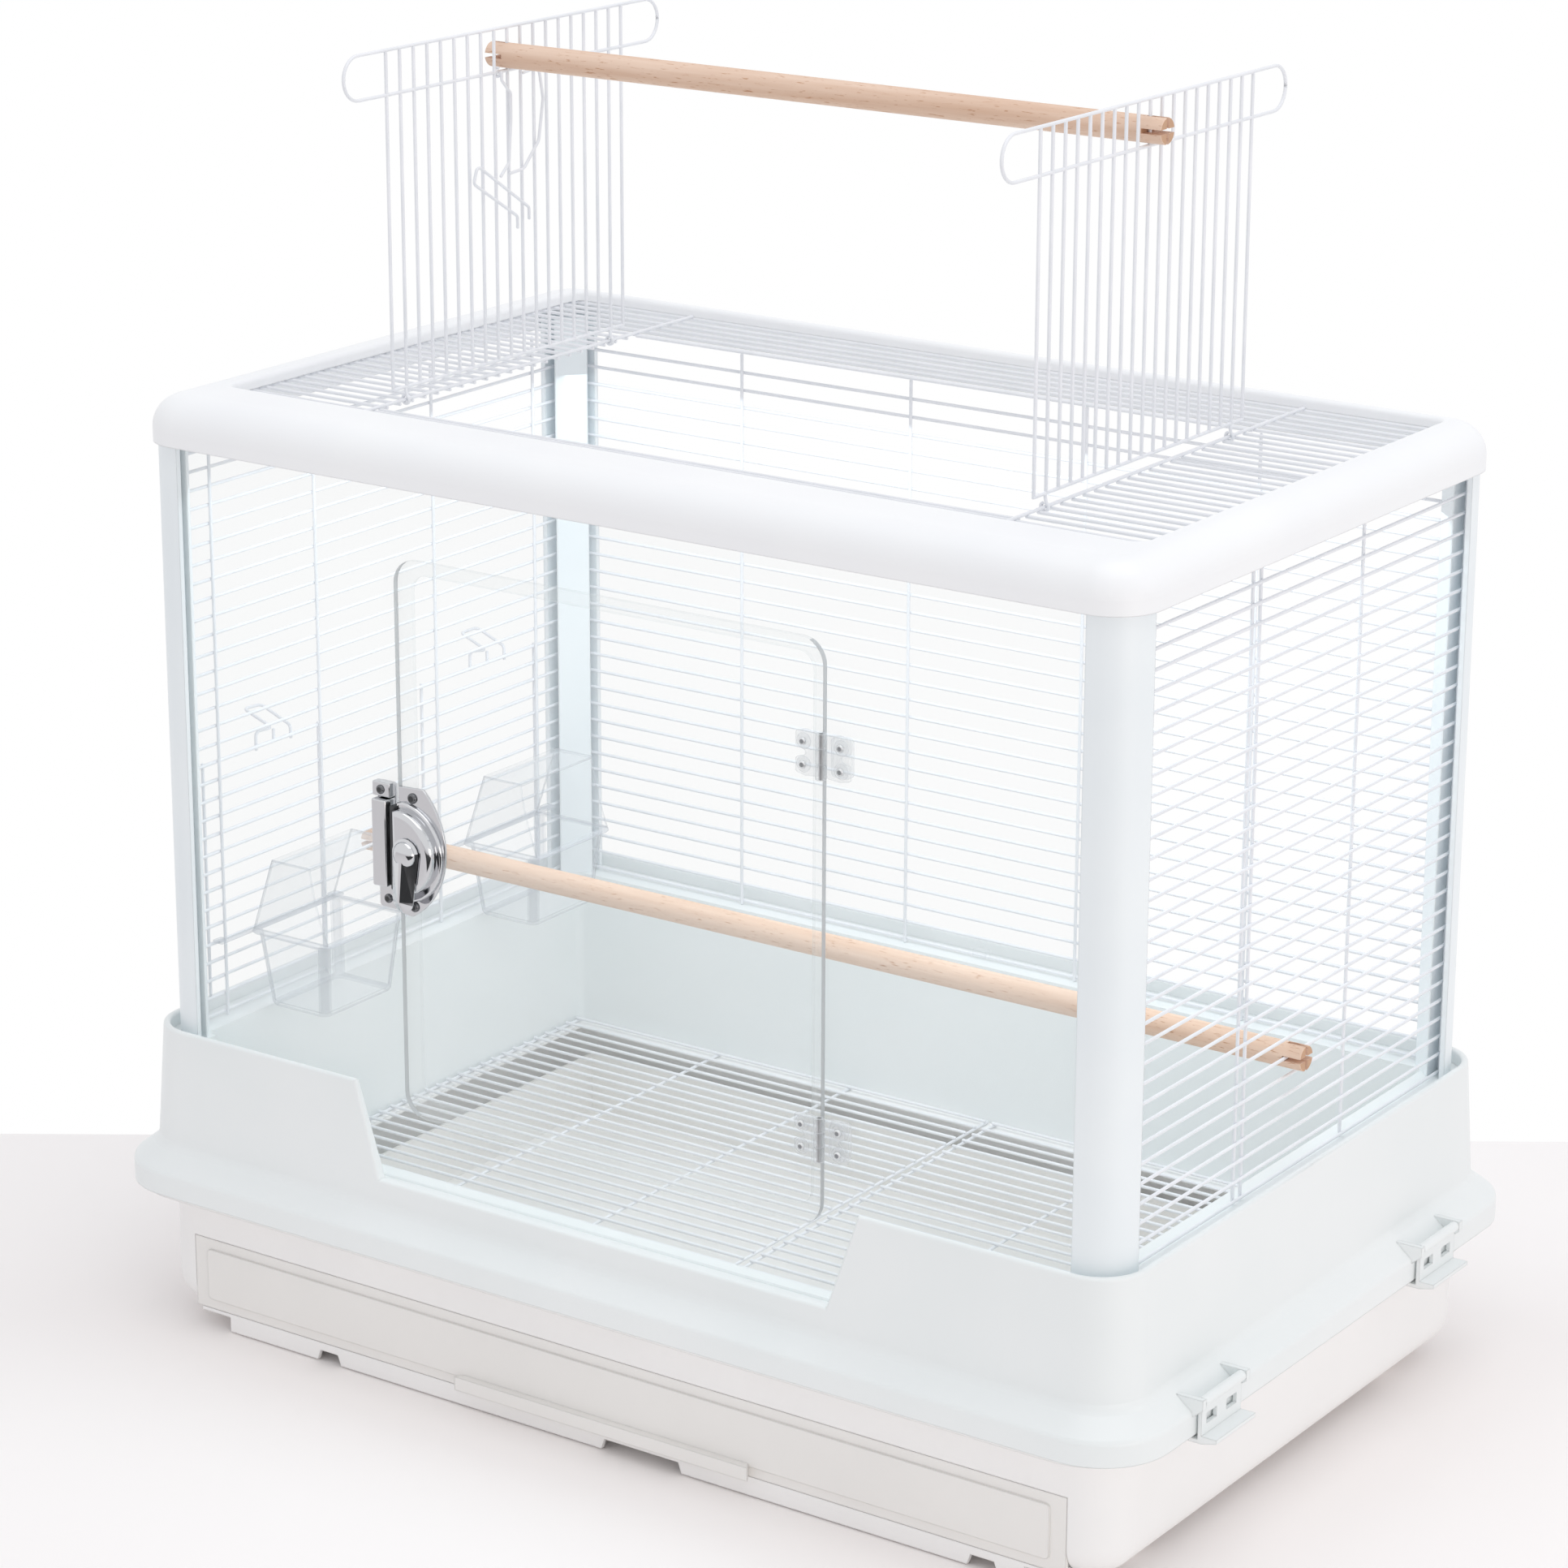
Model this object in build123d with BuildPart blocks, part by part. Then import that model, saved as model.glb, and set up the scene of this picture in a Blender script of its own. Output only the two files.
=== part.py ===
from build123d import *
import os
from math import floor

# Bird cage: a clear-fronted wire cage on a two-piece moulded base with a drawer.
# Millimetres. X runs to the right, Y to the back, Z up from the floor.
# The origin is on the floor under the middle of the cage.

os.makedirs("parts", exist_ok=True)

# Running gap between pieces that slide or hang on each other
GAP = 0.3
# Radial clearance of a pin in its bore
PIN_CLEARANCE = 0.05

# Body, outside its corner posts
BODY_LENGTH = 716
BODY_WIDTH = 434
BODY_TOP = 591

# Coated wire: the bars of a grid and their spacing
WIRE = 2.2
WIRE_BITE = 0.3
PANEL_PITCH = 12.2

# Lower tub and its feet
FOOT_HEIGHT = 11
FOOT_RADIUS = 15
FOOT_X = 325
FOOT_Y = 155
FOOT_ROUND = 2
TUB_LENGTH = BODY_LENGTH + 10
TUB_WIDTH = BODY_WIDTH + 10
TUB_CORNER = 28
TUB_WALL = 2.5
TUB_BOTTOM_ROUND = 20
TUB_TOP = 98
TUB_RIM = 22.5
TUB_RIM_THICKNESS = 2.5
LEDGE_TOP = 84
LEDGE_INSET = 33
SKIRT_LENGTH = 612
SKIRT_THICKNESS = 3
SKIRT_NOTCH_DEPTH = 7
SKIRT_NOTCH_ANGLE = 70
SKIRT_CLEARANCE = 1
SKIRT_NOTCHES = ((-222, 26), (28, 68), (277, 28))

# Drawer
DRAWER_FACE_LENGTH = 668
DRAWER_FACE_TOP = 63
DRAWER_TRAY_LENGTH = 660
DRAWER_TRAY_DEPTH = 424
DRAWER_TRAY_TOP = 59
DRAWER_WALL = 2
DRAWER_FACE = 3
DRAWER_BORDER = 11
DRAWER_BORDER_HIGH = 7
DRAWER_RAISE = 1.5
DRAWER_PANEL_ROUND = 3
PULL_LENGTH = 226
PULL_END_ANGLE = 60
PULL_REACH = 7
PULL_HEIGHT = 9

# Base collar: flange, shoulder, wall, inner sleeve and the ledge for the body
FLANGE_LENGTH = 776
FLANGE_WIDTH = 494
FLANGE_CORNER = 46
FLANGE_LIP = 15
FLANGE_SKIN = 5
FLANGE_ROUND = 4
SHOULDER_ROUND = 8
RIM_ROUND = 1.9
SHOULDER_TOP = 126
WALL_FOOT_OUT = 14
WALL_TOP_OUT = 10
WALL_CORNER = 32
RIM_TOP = 205
RIM_WALL = 4.5
BODY_LEDGE = 196
LEDGE_THICKNESS = 3
SLEEVE_INSET = 20
SLEEVE_WIDTH_INSET = 18
SLEEVE_WALL = 3
SLEEVE_CORNER = 6
FRONT_LEDGE = 138
LOW_RIM = 143
LOW_RIM_LENGTH = 340
LOW_RIM_SLOPE = 20
LOW_RIM_ROUND = 14

# Base latches
LATCH_WIDTH = 46
LATCH_Y = (-147, 123)
LATCH_PIVOT_OUT = 3.5
LATCH_PIVOT_Z = 119
LATCH_PIN_RADIUS = 1.5
LATCH_BARREL_RADIUS = 3.2
LATCH_PLATE = 2.5
LATCH_PLATE_OUT = 1.3
LATCH_HOOK = 9.5
LATCH_GRIP = 10
EAR_WIDTH = 4

# Floor grille
GRILLE_PITCH = 12.4
GRILLE_EDGE_GAP = 2
GRILLE_SEAM_X = 16.5
GRILLE_SEAM_GAP = 5
GRILLE_CROSSBAR_PITCH = 112

# Clip on the back panel
CLIP_X = -8
CLIP_LENGTH = 10

# Corner posts
POST_SIZE = 28
POST_ROUND = 24
POST_SKIN = 3.7
POST_SLOT_DEPTH = 14
SIDE_SLOT_DEPTH = 14
SLOT_END_GAP = 2
WIRE_SLOT = 8

# Clear front panel and door
SHEET = 4
DOOR_LENGTH = 315
DOOR_BOTTOM = 186
DOOR_TOP = 547
DOOR_CORNER = 16
DOOR_OVERLAP = 10

# Clear hinges
HINGE_HEIGHT = 28
HINGE_LEAF = 19
HINGE_LEAF_THICKNESS = 2.4
HINGE_GAP = 0.4
HINGE_BARREL_RADIUS = 3.4
HINGE_PIN_RADIUS = 1.4
HINGE_Z = (244, 479)
HINGE_AXIS_OUT = 1.2
HINGE_ROUND = 4
HINGE_SCREW_INSET = 6
SCREW_HEAD_RADIUS = 2.6
SCREW_HEAD = 1.4
SCREW_SHANK_RADIUS = 1.2

# Crescent lock on the door and its keeper on the panel
LOCK_Z = 362
LOCK_HEIGHT = 84
LOCK_LENGTH = 36
LOCK_INSET = 2
LOCK_BASE = 2
LOCK_BASE_HEAD = 20
LOCK_BASE_FOOT = 10
LOCK_DEPTH = 11
LOCK_PIVOT_INSET = 12.5
LOCK_PIVOT_RISE = 2
LOCK_COVER_LENGTH = 34
LOCK_COVER_INSET = 13
LOCK_SCREW_INSET = 11
LOCK_SCREW_REACH = 35
LOCK_ROUND = 4
LEVER_ROUND = 2
LEVER_LENGTH = 38
LEVER_LEAN = 2.5
LEVER_HUB_RADIUS = 10
LEVER_TIP_RADIUS = 8
LEVER_THICKNESS = 6
LEVER_STEM_RADIUS = 3
LEVER_STEM_SHORT = 1
KEEPER_LENGTH = 14
KEEPER_HEIGHT = 82
KEEPER_CORNER = 3
KEEPER_ROUND = 1
KEEPER_SLAB_RISE = 4
KEEPER_GAP = 3.5
KEEPER_BASE = 3
KEEPER_SLAB_HEIGHT = 56
KEEPER_SLAB_LENGTH = 11
KEEPER_SLAB_DEPTH = 10

# Side and back wire panels
PERCH_WIRE_Z = 272
PANEL_WIRES_BELOW = 6
PANEL_WIRES_ABOVE = 25
LEFT_UPRIGHTS = (-200, 200)
FEEDER_OPENING_TOP = 311
FEEDER_OPENING_BOTTOM = 209
FEEDER_OPENINGS = ((-165, -66), (58, 167))
RIGHT_UPRIGHTS = (-200, -66, -57, 66.5, 200)
BACK_UPRIGHTS = (-335, -201, -64, 72, 200, 335)

# Feeder doors, slid up from outside the left panel
FEEDER_DOOR_OVERLAP_LEFT = 13
FEEDER_DOOR_OVERLAP_RIGHT = 5
FEEDER_DOOR_WIRES = 14
PULL_WIRE_WIDTH = 14
PULL_WIRE_REACH = 26
PULL_WIRE_RISE = 10
PULL_TIP = 12

# Feeder cups and hoods
CUP_LENGTH = 90
CUP_Y = (-104, 118)
CUP_REACH = 68
CUP_HEIGHT = 54
CUP_WALL = 2
CUP_TAPER = 6
CUP_RIM = 4
HOOD_WALL = 1.8
HOOD_HEIGHT = 50
HOOD_TOP_BACK = 20
HOOD_TOP_FRONT = 14
CUP_TAB = 8
CUP_WING = 12
CUP_CORNER = 6

# Wooden perches
PERCH_RADIUS = 8
PERCH_ROUND = 0.8
KERF = 3
LOWER_PERCH_Y = -4
LOWER_PERCH_PROUD = 11
ROOF_PERCH_PROUD = 12

# Roof frame
ROOF_OVERHANG = 4
ROOF_CORNER = 30
ROOF_HEIGHT = 29
ROOF_SKIN = 2.8
ROOF_ROUND = 20
ROOF_INNER_ROUND = 3
ROOF_SIDE = 29
ROOF_BACK = 22
ROOF_FRONT = 57
ROOF_TOP_SKIN = 7
ROOF_INNER_CORNER = 8
ROOF_BOSS = 8
ROOF_BOSS_INSET = 13.2

# Roof grille and the two roof doors
ROOF_PITCH = 12.5
ROOF_GRILLE_TUCK = 7
ROOF_DOOR_X = 235
ROOF_DOOR_OPENING = 268
ROOF_DOOR_WIRES = 19
ROOF_DOOR_PITCH = 13.3
RAIL_LOW = 192.6
RAIL_HIGH = 220
RAIL_LENGTH = 320
DOOR_BAR = 8
EYE_WALL = 1.6
EYE_LENGTH = 5
HOOK_LENGTH = 62
HOOK_TIP = 16
HOOK_WIRE_RADIUS = 1
HOOK_EYE_WALL = 1.8
HOOK_BEND = 5
HOOK_DROP = 4

half_length = BODY_LENGTH / 2
half_width = BODY_WIDTH / 2
tub_floor_top = FOOT_HEIGHT + TUB_WALL
flange_bottom = TUB_TOP
flange_top = flange_bottom + FLANGE_LIP
sleeve_length = BODY_LENGTH - 2 * SLEEVE_INSET
sleeve_width = BODY_WIDTH - 2 * SLEEVE_WIDTH_INSET
grille_half_length = sleeve_length / 2 - GRILLE_EDGE_GAP
grille_half_width = sleeve_width / 2 - GRILLE_EDGE_GAP

# Step between the two layers of crossing wires, and the planes of the panels
layer_step = WIRE - WIRE_BITE
side_wire_x = half_length - POST_SKIN - WIRE_SLOT / 2 + layer_step / 2
back_wire_y = half_width - POST_SKIN - WIRE_SLOT / 2 + layer_step / 2
front_panel_face = -half_width + POST_SKIN + GAP
door_face = front_panel_face - GAP - SHEET


def save(part, name):
    part.label = name
    export_step(part, "parts/" + name + ".step")


def bar(size_x, size_y, size_z, center):
    with Locations(center):
        Box(size_x, size_y, size_z)


# Lower tub: a shell with a rounded bottom, an inner ledge and an outer rim

drawer_opening_length = DRAWER_FACE_LENGTH + 2 * GAP
drawer_opening_top = DRAWER_FACE_TOP + GAP

with BuildPart() as lower_tub:
    with BuildSketch(Plane.XY.offset(FOOT_HEIGHT)):
        RectangleRounded(TUB_LENGTH, TUB_WIDTH, TUB_CORNER)
    extrude(amount=TUB_TOP - FOOT_HEIGHT)
    fillet(lower_tub.faces().sort_by(Axis.Z)[0].edges(), TUB_BOTTOM_ROUND)
    offset(amount=-TUB_WALL, openings=lower_tub.faces().sort_by(Axis.Z)[-1])
    with BuildSketch(Plane.XY.offset(TUB_TOP - TUB_RIM_THICKNESS)):
        RectangleRounded(TUB_LENGTH + 2 * TUB_RIM, TUB_WIDTH + 2 * TUB_RIM, TUB_CORNER + TUB_RIM)
        RectangleRounded(
            TUB_LENGTH - 2 * TUB_WALL,
            TUB_WIDTH - 2 * TUB_WALL,
            TUB_CORNER - TUB_WALL,
            mode=Mode.SUBTRACT,
        )
    extrude(amount=TUB_RIM_THICKNESS)
    with BuildSketch(Plane.XY.offset(LEDGE_TOP - TUB_WALL)):
        RectangleRounded(TUB_LENGTH - TUB_WALL, TUB_WIDTH - TUB_WALL, TUB_CORNER)
        Rectangle(TUB_LENGTH - 2 * LEDGE_INSET, TUB_WIDTH - 2 * LEDGE_INSET, mode=Mode.SUBTRACT)
    extrude(amount=TUB_WALL)
    # Opening for the drawer, and the flat sill and skirt below it
    with Locations((0, -TUB_WIDTH / 2, (tub_floor_top + drawer_opening_top) / 2)):
        Box(
            drawer_opening_length,
            2 * TUB_BOTTOM_ROUND,
            drawer_opening_top - tub_floor_top,
            mode=Mode.SUBTRACT,
        )
    bar(
        DRAWER_TRAY_LENGTH,
        TUB_BOTTOM_ROUND + TUB_WALL,
        TUB_WALL,
        (0, (-TUB_WIDTH + TUB_BOTTOM_ROUND + TUB_WALL) / 2, FOOT_HEIGHT + TUB_WALL / 2),
    )
    bar(
        SKIRT_LENGTH,
        SKIRT_THICKNESS,
        tub_floor_top - SKIRT_CLEARANCE,
        (0, (-TUB_WIDTH + SKIRT_THICKNESS) / 2, (tub_floor_top + SKIRT_CLEARANCE) / 2),
    )
    for notch_x, notch_length in SKIRT_NOTCHES:
        with BuildSketch(Plane.XZ.offset(TUB_WIDTH / 2)):
            with Locations((notch_x, 0)):
                Trapezoid(
                    notch_length,
                    2 * (SKIRT_NOTCH_DEPTH + SKIRT_CLEARANCE),
                    SKIRT_NOTCH_ANGLE,
                )
        extrude(amount=-SKIRT_THICKNESS, mode=Mode.SUBTRACT)
save(lower_tub.part, "lower_tub")

with BuildPart() as tub_feet:
    with GridLocations(2 * FOOT_X, 2 * FOOT_Y, 2, 2):
        Cylinder(FOOT_RADIUS, FOOT_HEIGHT, align=(Align.CENTER, Align.CENTER, Align.MIN))
    fillet(tub_feet.faces().group_by(Axis.Z)[0].edges(), FOOT_ROUND)
save(tub_feet.part, "tub_feet")

# Drawer: an open tray with a framed face and a finger lip

tray_bottom = tub_floor_top + GAP
tray_height = DRAWER_TRAY_TOP - tray_bottom
face_height = DRAWER_FACE_TOP - tray_bottom
face_middle = (DRAWER_FACE_TOP + tray_bottom) / 2

with BuildPart() as drawer:
    with BuildSketch(Plane.XY.offset(tray_bottom)):
        with Locations((0, -TUB_WIDTH / 2 + DRAWER_TRAY_DEPTH / 2)):
            Rectangle(DRAWER_TRAY_LENGTH, DRAWER_TRAY_DEPTH)
    extrude(amount=tray_height)
    offset(amount=-DRAWER_WALL, openings=drawer.faces().sort_by(Axis.Z)[-1])
    bar(
        DRAWER_FACE_LENGTH,
        DRAWER_FACE,
        face_height,
        (0, (-TUB_WIDTH + DRAWER_FACE) / 2, face_middle),
    )
    with BuildSketch(Plane.XZ.offset(TUB_WIDTH / 2)):
        with Locations((0, face_middle)):
            RectangleRounded(
                DRAWER_FACE_LENGTH - 2 * DRAWER_BORDER,
                face_height - 2 * DRAWER_BORDER_HIGH,
                DRAWER_PANEL_ROUND,
            )
    extrude(amount=DRAWER_RAISE)
    with BuildSketch(Plane.XY.offset(tray_bottom)):
        with Locations((0, -TUB_WIDTH / 2)):
            Trapezoid(PULL_LENGTH, 2 * PULL_REACH, PULL_END_ANGLE)
    extrude(amount=PULL_HEIGHT)
save(drawer.part, "drawer")

# Base collar: flange, shoulder, tapered wall, ledge and sleeve, hollow from below

wall_foot_length = BODY_LENGTH + 2 * WALL_FOOT_OUT
wall_foot_width = BODY_WIDTH + 2 * WALL_FOOT_OUT
wall_top_length = BODY_LENGTH + 2 * WALL_TOP_OUT
wall_top_width = BODY_WIDTH + 2 * WALL_TOP_OUT
channel_length = wall_top_length - 2 * RIM_WALL
channel_width = wall_top_width - 2 * RIM_WALL
sleeve_outer_length = sleeve_length + 2 * SLEEVE_WALL
sleeve_outer_width = sleeve_width + 2 * SLEEVE_WALL
front_channel_length = BODY_LENGTH - 2 * POST_SIZE
latch_x = FLANGE_LENGTH / 2 + LATCH_PIVOT_OUT

with BuildPart() as base_collar:
    with BuildSketch(Plane.XY.offset(flange_bottom)):
        RectangleRounded(FLANGE_LENGTH, FLANGE_WIDTH, FLANGE_CORNER)
    extrude(amount=FLANGE_LIP)
    with BuildSketch(Plane.XY.offset(flange_top)):
        RectangleRounded(FLANGE_LENGTH, FLANGE_WIDTH, FLANGE_CORNER)
    with BuildSketch(Plane.XY.offset(SHOULDER_TOP)):
        RectangleRounded(wall_foot_length, wall_foot_width, WALL_CORNER)
    loft(ruled=True)
    with BuildSketch(Plane.XY.offset(SHOULDER_TOP)):
        RectangleRounded(wall_foot_length, wall_foot_width, WALL_CORNER)
    with BuildSketch(Plane.XY.offset(RIM_TOP)):
        RectangleRounded(wall_top_length, wall_top_width, WALL_CORNER)
    loft(ruled=True)
    for edge_z, edge_round in ((flange_top, FLANGE_ROUND), (SHOULDER_TOP, SHOULDER_ROUND)):
        loop = base_collar.edges().filter_by(
            lambda edge: abs(edge.bounding_box().min.Z - edge_z) < 0.1
            and abs(edge.bounding_box().max.Z - edge_z) < 0.1
        )
        fillet(loop, edge_round)
    with BuildSketch(Plane.XY.offset(LEDGE_TOP + GAP)):
        RectangleRounded(sleeve_outer_length, sleeve_outer_width, SLEEVE_CORNER + SLEEVE_WALL)
    extrude(amount=flange_bottom - LEDGE_TOP - GAP)
    # Through opening, the channel behind the rim and the lower channel at the front
    with BuildSketch(Plane.XY.offset(LEDGE_TOP + GAP)):
        RectangleRounded(sleeve_length, sleeve_width, SLEEVE_CORNER)
    extrude(amount=RIM_TOP - LEDGE_TOP, mode=Mode.SUBTRACT)
    with BuildSketch(Plane.XY.offset(BODY_LEDGE)):
        RectangleRounded(channel_length, channel_width, WALL_CORNER - RIM_WALL)
    extrude(amount=RIM_TOP - BODY_LEDGE, mode=Mode.SUBTRACT)
    with BuildSketch(Plane.XY.offset(FRONT_LEDGE)):
        with Locations((0, -channel_width / 2)):
            Rectangle(front_channel_length, channel_width / 4, align=(Align.CENTER, Align.MIN))
    extrude(amount=RIM_TOP - FRONT_LEDGE, mode=Mode.SUBTRACT)
    # Hollow of the wall and of the flange, open below
    with BuildSketch(Plane.XY.offset(flange_bottom)):
        RectangleRounded(channel_length, channel_width, WALL_CORNER - RIM_WALL)
        RectangleRounded(
            sleeve_outer_length,
            sleeve_outer_width,
            SLEEVE_CORNER + SLEEVE_WALL,
            mode=Mode.SUBTRACT,
        )
    extrude(amount=FRONT_LEDGE - LEDGE_THICKNESS - flange_bottom, mode=Mode.SUBTRACT)
    with BuildSketch(Plane.XY.offset(FRONT_LEDGE - LEDGE_THICKNESS)):
        RectangleRounded(channel_length, channel_width, WALL_CORNER - RIM_WALL)
        RectangleRounded(
            sleeve_outer_length,
            sleeve_outer_width,
            SLEEVE_CORNER + SLEEVE_WALL,
            mode=Mode.SUBTRACT,
        )
        with Locations((0, -channel_width / 2)):
            Rectangle(
                front_channel_length + 2 * LEDGE_THICKNESS,
                channel_width / 4,
                mode=Mode.SUBTRACT,
            )
    extrude(amount=BODY_LEDGE - FRONT_LEDGE, mode=Mode.SUBTRACT)
    with BuildSketch(Plane.XY.offset(flange_bottom)):
        RectangleRounded(
            FLANGE_LENGTH - 2 * FLANGE_SKIN,
            FLANGE_WIDTH - 2 * FLANGE_SKIN,
            FLANGE_CORNER - FLANGE_SKIN,
        )
        RectangleRounded(
            sleeve_outer_length,
            sleeve_outer_width,
            SLEEVE_CORNER + SLEEVE_WALL,
            mode=Mode.SUBTRACT,
        )
    extrude(amount=FLANGE_LIP - FLANGE_SKIN, mode=Mode.SUBTRACT)
    # Low section of the front wall
    with BuildSketch(Plane.XZ.offset(sleeve_width / 2 + SLEEVE_WALL)) as low_front:
        with BuildLine():
            Polyline(
                (-LOW_RIM_LENGTH / 2, LOW_RIM),
                (LOW_RIM_LENGTH / 2, LOW_RIM),
                (LOW_RIM_LENGTH / 2 + LOW_RIM_SLOPE, RIM_TOP),
                (LOW_RIM_LENGTH / 2 + 2 * LOW_RIM_SLOPE, RIM_TOP),
                (LOW_RIM_LENGTH / 2 + 2 * LOW_RIM_SLOPE, RIM_TOP + LOW_RIM_SLOPE),
                (-LOW_RIM_LENGTH / 2 - 2 * LOW_RIM_SLOPE, RIM_TOP + LOW_RIM_SLOPE),
                (-LOW_RIM_LENGTH / 2 - 2 * LOW_RIM_SLOPE, RIM_TOP),
                (-LOW_RIM_LENGTH / 2 - LOW_RIM_SLOPE, RIM_TOP),
                close=True,
            )
        make_face()
        rounded = [
            corner
            for corner in low_front.vertices()
            if abs(corner.Z - LOW_RIM) < 1
            or (abs(corner.Z - RIM_TOP) < 1 and abs(corner.X) < LOW_RIM_LENGTH / 2 + 1.5 * LOW_RIM_SLOPE)
        ]
        fillet(rounded, LOW_RIM_ROUND)
    extrude(amount=2 * SLEEVE_INSET, mode=Mode.SUBTRACT)
    rim_faces = [
        face
        for face in base_collar.faces()
        if face.normal_at().Z > 0.2
        and face.center().Z > LOW_RIM - 1
        and abs(face.center().Z - BODY_LEDGE) > 1
    ]
    rim_edges = [edge for face in rim_faces for edge in face.edges()]
    rim_edges = [
        edge for edge in rim_edges if sum(edge.is_same(other) for other in rim_edges) == 1
    ]
    fillet(rim_edges, RIM_ROUND)
    # Ears and bars that carry the latches
    for side in (-1, 1):
        for latch_y in LATCH_Y:
            for end in (-1, 1):
                ear_y = latch_y + end * (LATCH_WIDTH / 2 + GAP + EAR_WIDTH / 2)
                with BuildSketch(Plane.XZ.offset(-ear_y - EAR_WIDTH / 2)):
                    with BuildLine():
                        Polyline(
                            (side * (FLANGE_LENGTH / 2 - FLANGE_LIP), flange_top - FLANGE_SKIN / 2),
                            (side * (FLANGE_LENGTH / 2), flange_top - FLANGE_SKIN / 2),
                            (side * (latch_x + LATCH_BARREL_RADIUS), LATCH_PIVOT_Z - LATCH_BARREL_RADIUS),
                            (side * (latch_x + LATCH_BARREL_RADIUS), LATCH_PIVOT_Z + LATCH_BARREL_RADIUS),
                            (side * (FLANGE_LENGTH / 2 - FLANGE_LIP), LATCH_PIVOT_Z + LATCH_BARREL_RADIUS),
                            close=True,
                        )
                    make_face()
                extrude(amount=EAR_WIDTH)
            with Locations(Location((side * latch_x, latch_y, LATCH_PIVOT_Z), (90, 0, 0))):
                Cylinder(LATCH_PIN_RADIUS, LATCH_WIDTH + EAR_WIDTH)
save(base_collar.part, "base_collar")

# Base latches: a barrel on the collar's bar, a plate, a hook under the tub's rim and a grip

hook_top = TUB_TOP - TUB_RIM_THICKNESS - GAP
plate_inner = FLANGE_LENGTH / 2 + LATCH_PLATE_OUT


def base_latch(side, latch_y):
    with BuildPart() as latch:
        with BuildSketch(Plane.XZ.offset(-latch_y - LATCH_WIDTH / 2)):
            with BuildLine():
                Polyline(
                    (side * plate_inner, LATCH_PIVOT_Z),
                    (side * plate_inner, hook_top),
                    (side * (plate_inner - LATCH_HOOK), hook_top),
                    (side * (plate_inner - LATCH_HOOK), hook_top - LATCH_PLATE),
                    (side * (plate_inner + LATCH_PLATE), hook_top - LATCH_PLATE),
                    (side * (plate_inner + LATCH_PLATE + LATCH_GRIP), hook_top),
                    (side * (plate_inner + LATCH_PLATE + LATCH_GRIP), hook_top + LATCH_PLATE),
                    (side * (plate_inner + LATCH_PLATE), hook_top + LATCH_PLATE),
                    (side * (plate_inner + LATCH_PLATE), LATCH_PIVOT_Z),
                    close=True,
                )
            make_face()
            with Locations((side * latch_x, LATCH_PIVOT_Z)):
                Circle(LATCH_BARREL_RADIUS)
                Circle(LATCH_PIN_RADIUS + PIN_CLEARANCE, mode=Mode.SUBTRACT)
        extrude(amount=LATCH_WIDTH)
        # Two slots in the plate
        for end in (-1, 1):
            with Locations(
                (
                    side * (plate_inner + LATCH_PLATE / 2),
                    latch_y + end * LATCH_WIDTH / 4,
                    (LATCH_PIVOT_Z + hook_top) / 2,
                )
            ):
                Box(LATCH_PLATE, LATCH_WIDTH / 4, LATCH_BARREL_RADIUS * 2, mode=Mode.SUBTRACT)
    return latch.part


for side_name, side in (("left", -1), ("right", 1)):
    for place_name, latch_y in zip(("front", "rear"), LATCH_Y):
        save(base_latch(side, latch_y), "latch_" + side_name + "_" + place_name)

# Floor grille: two sections on the tub's ledge, wires along X over cross bars

grille_bar_z = LEDGE_TOP + GAP + WIRE / 2
grille_wire_z = grille_bar_z + layer_step
grille_wires = floor(2 * (grille_half_width - WIRE / 2) / GRILLE_PITCH) + 1


def floor_grille(low_x, high_x, crossbars):
    middle = (low_x + high_x) / 2
    with BuildPart() as grille:
        for bar_x in crossbars:
            bar(WIRE, 2 * grille_half_width, WIRE, (bar_x, 0, grille_bar_z))
        with Locations(Location((middle, 0, grille_wire_z))):
            with GridLocations(1, GRILLE_PITCH, 1, grille_wires):
                Box(high_x - low_x, WIRE, WIRE)
    return grille.part


seam_left = GRILLE_SEAM_X - GRILLE_SEAM_GAP / 2
seam_right = GRILLE_SEAM_X + GRILLE_SEAM_GAP / 2
left_bars = [
    -grille_half_length + WIRE / 2,
    seam_left - WIRE / 2 - 2 * GRILLE_CROSSBAR_PITCH,
    seam_left - WIRE / 2 - GRILLE_CROSSBAR_PITCH,
    seam_left - WIRE / 2,
]
right_bars = [
    seam_right + WIRE / 2,
    seam_right + WIRE / 2 + GRILLE_CROSSBAR_PITCH,
    seam_right + WIRE / 2 + 2 * GRILLE_CROSSBAR_PITCH,
    grille_half_length - WIRE / 2,
]
save(floor_grille(-grille_half_length, seam_left, left_bars), "floor_grille_left")
save(floor_grille(seam_right, grille_half_length, right_bars), "floor_grille_right")

# Corner posts: a rounded angle section with one slot for each panel

grille_roof_z = BODY_TOP + ROOF_HEIGHT - ROOF_TOP_SKIN - GAP - WIRE / 2
post_top = BODY_TOP + ROOF_HEIGHT - ROOF_ROUND
front_slot = SHEET + 2 * GAP


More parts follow.
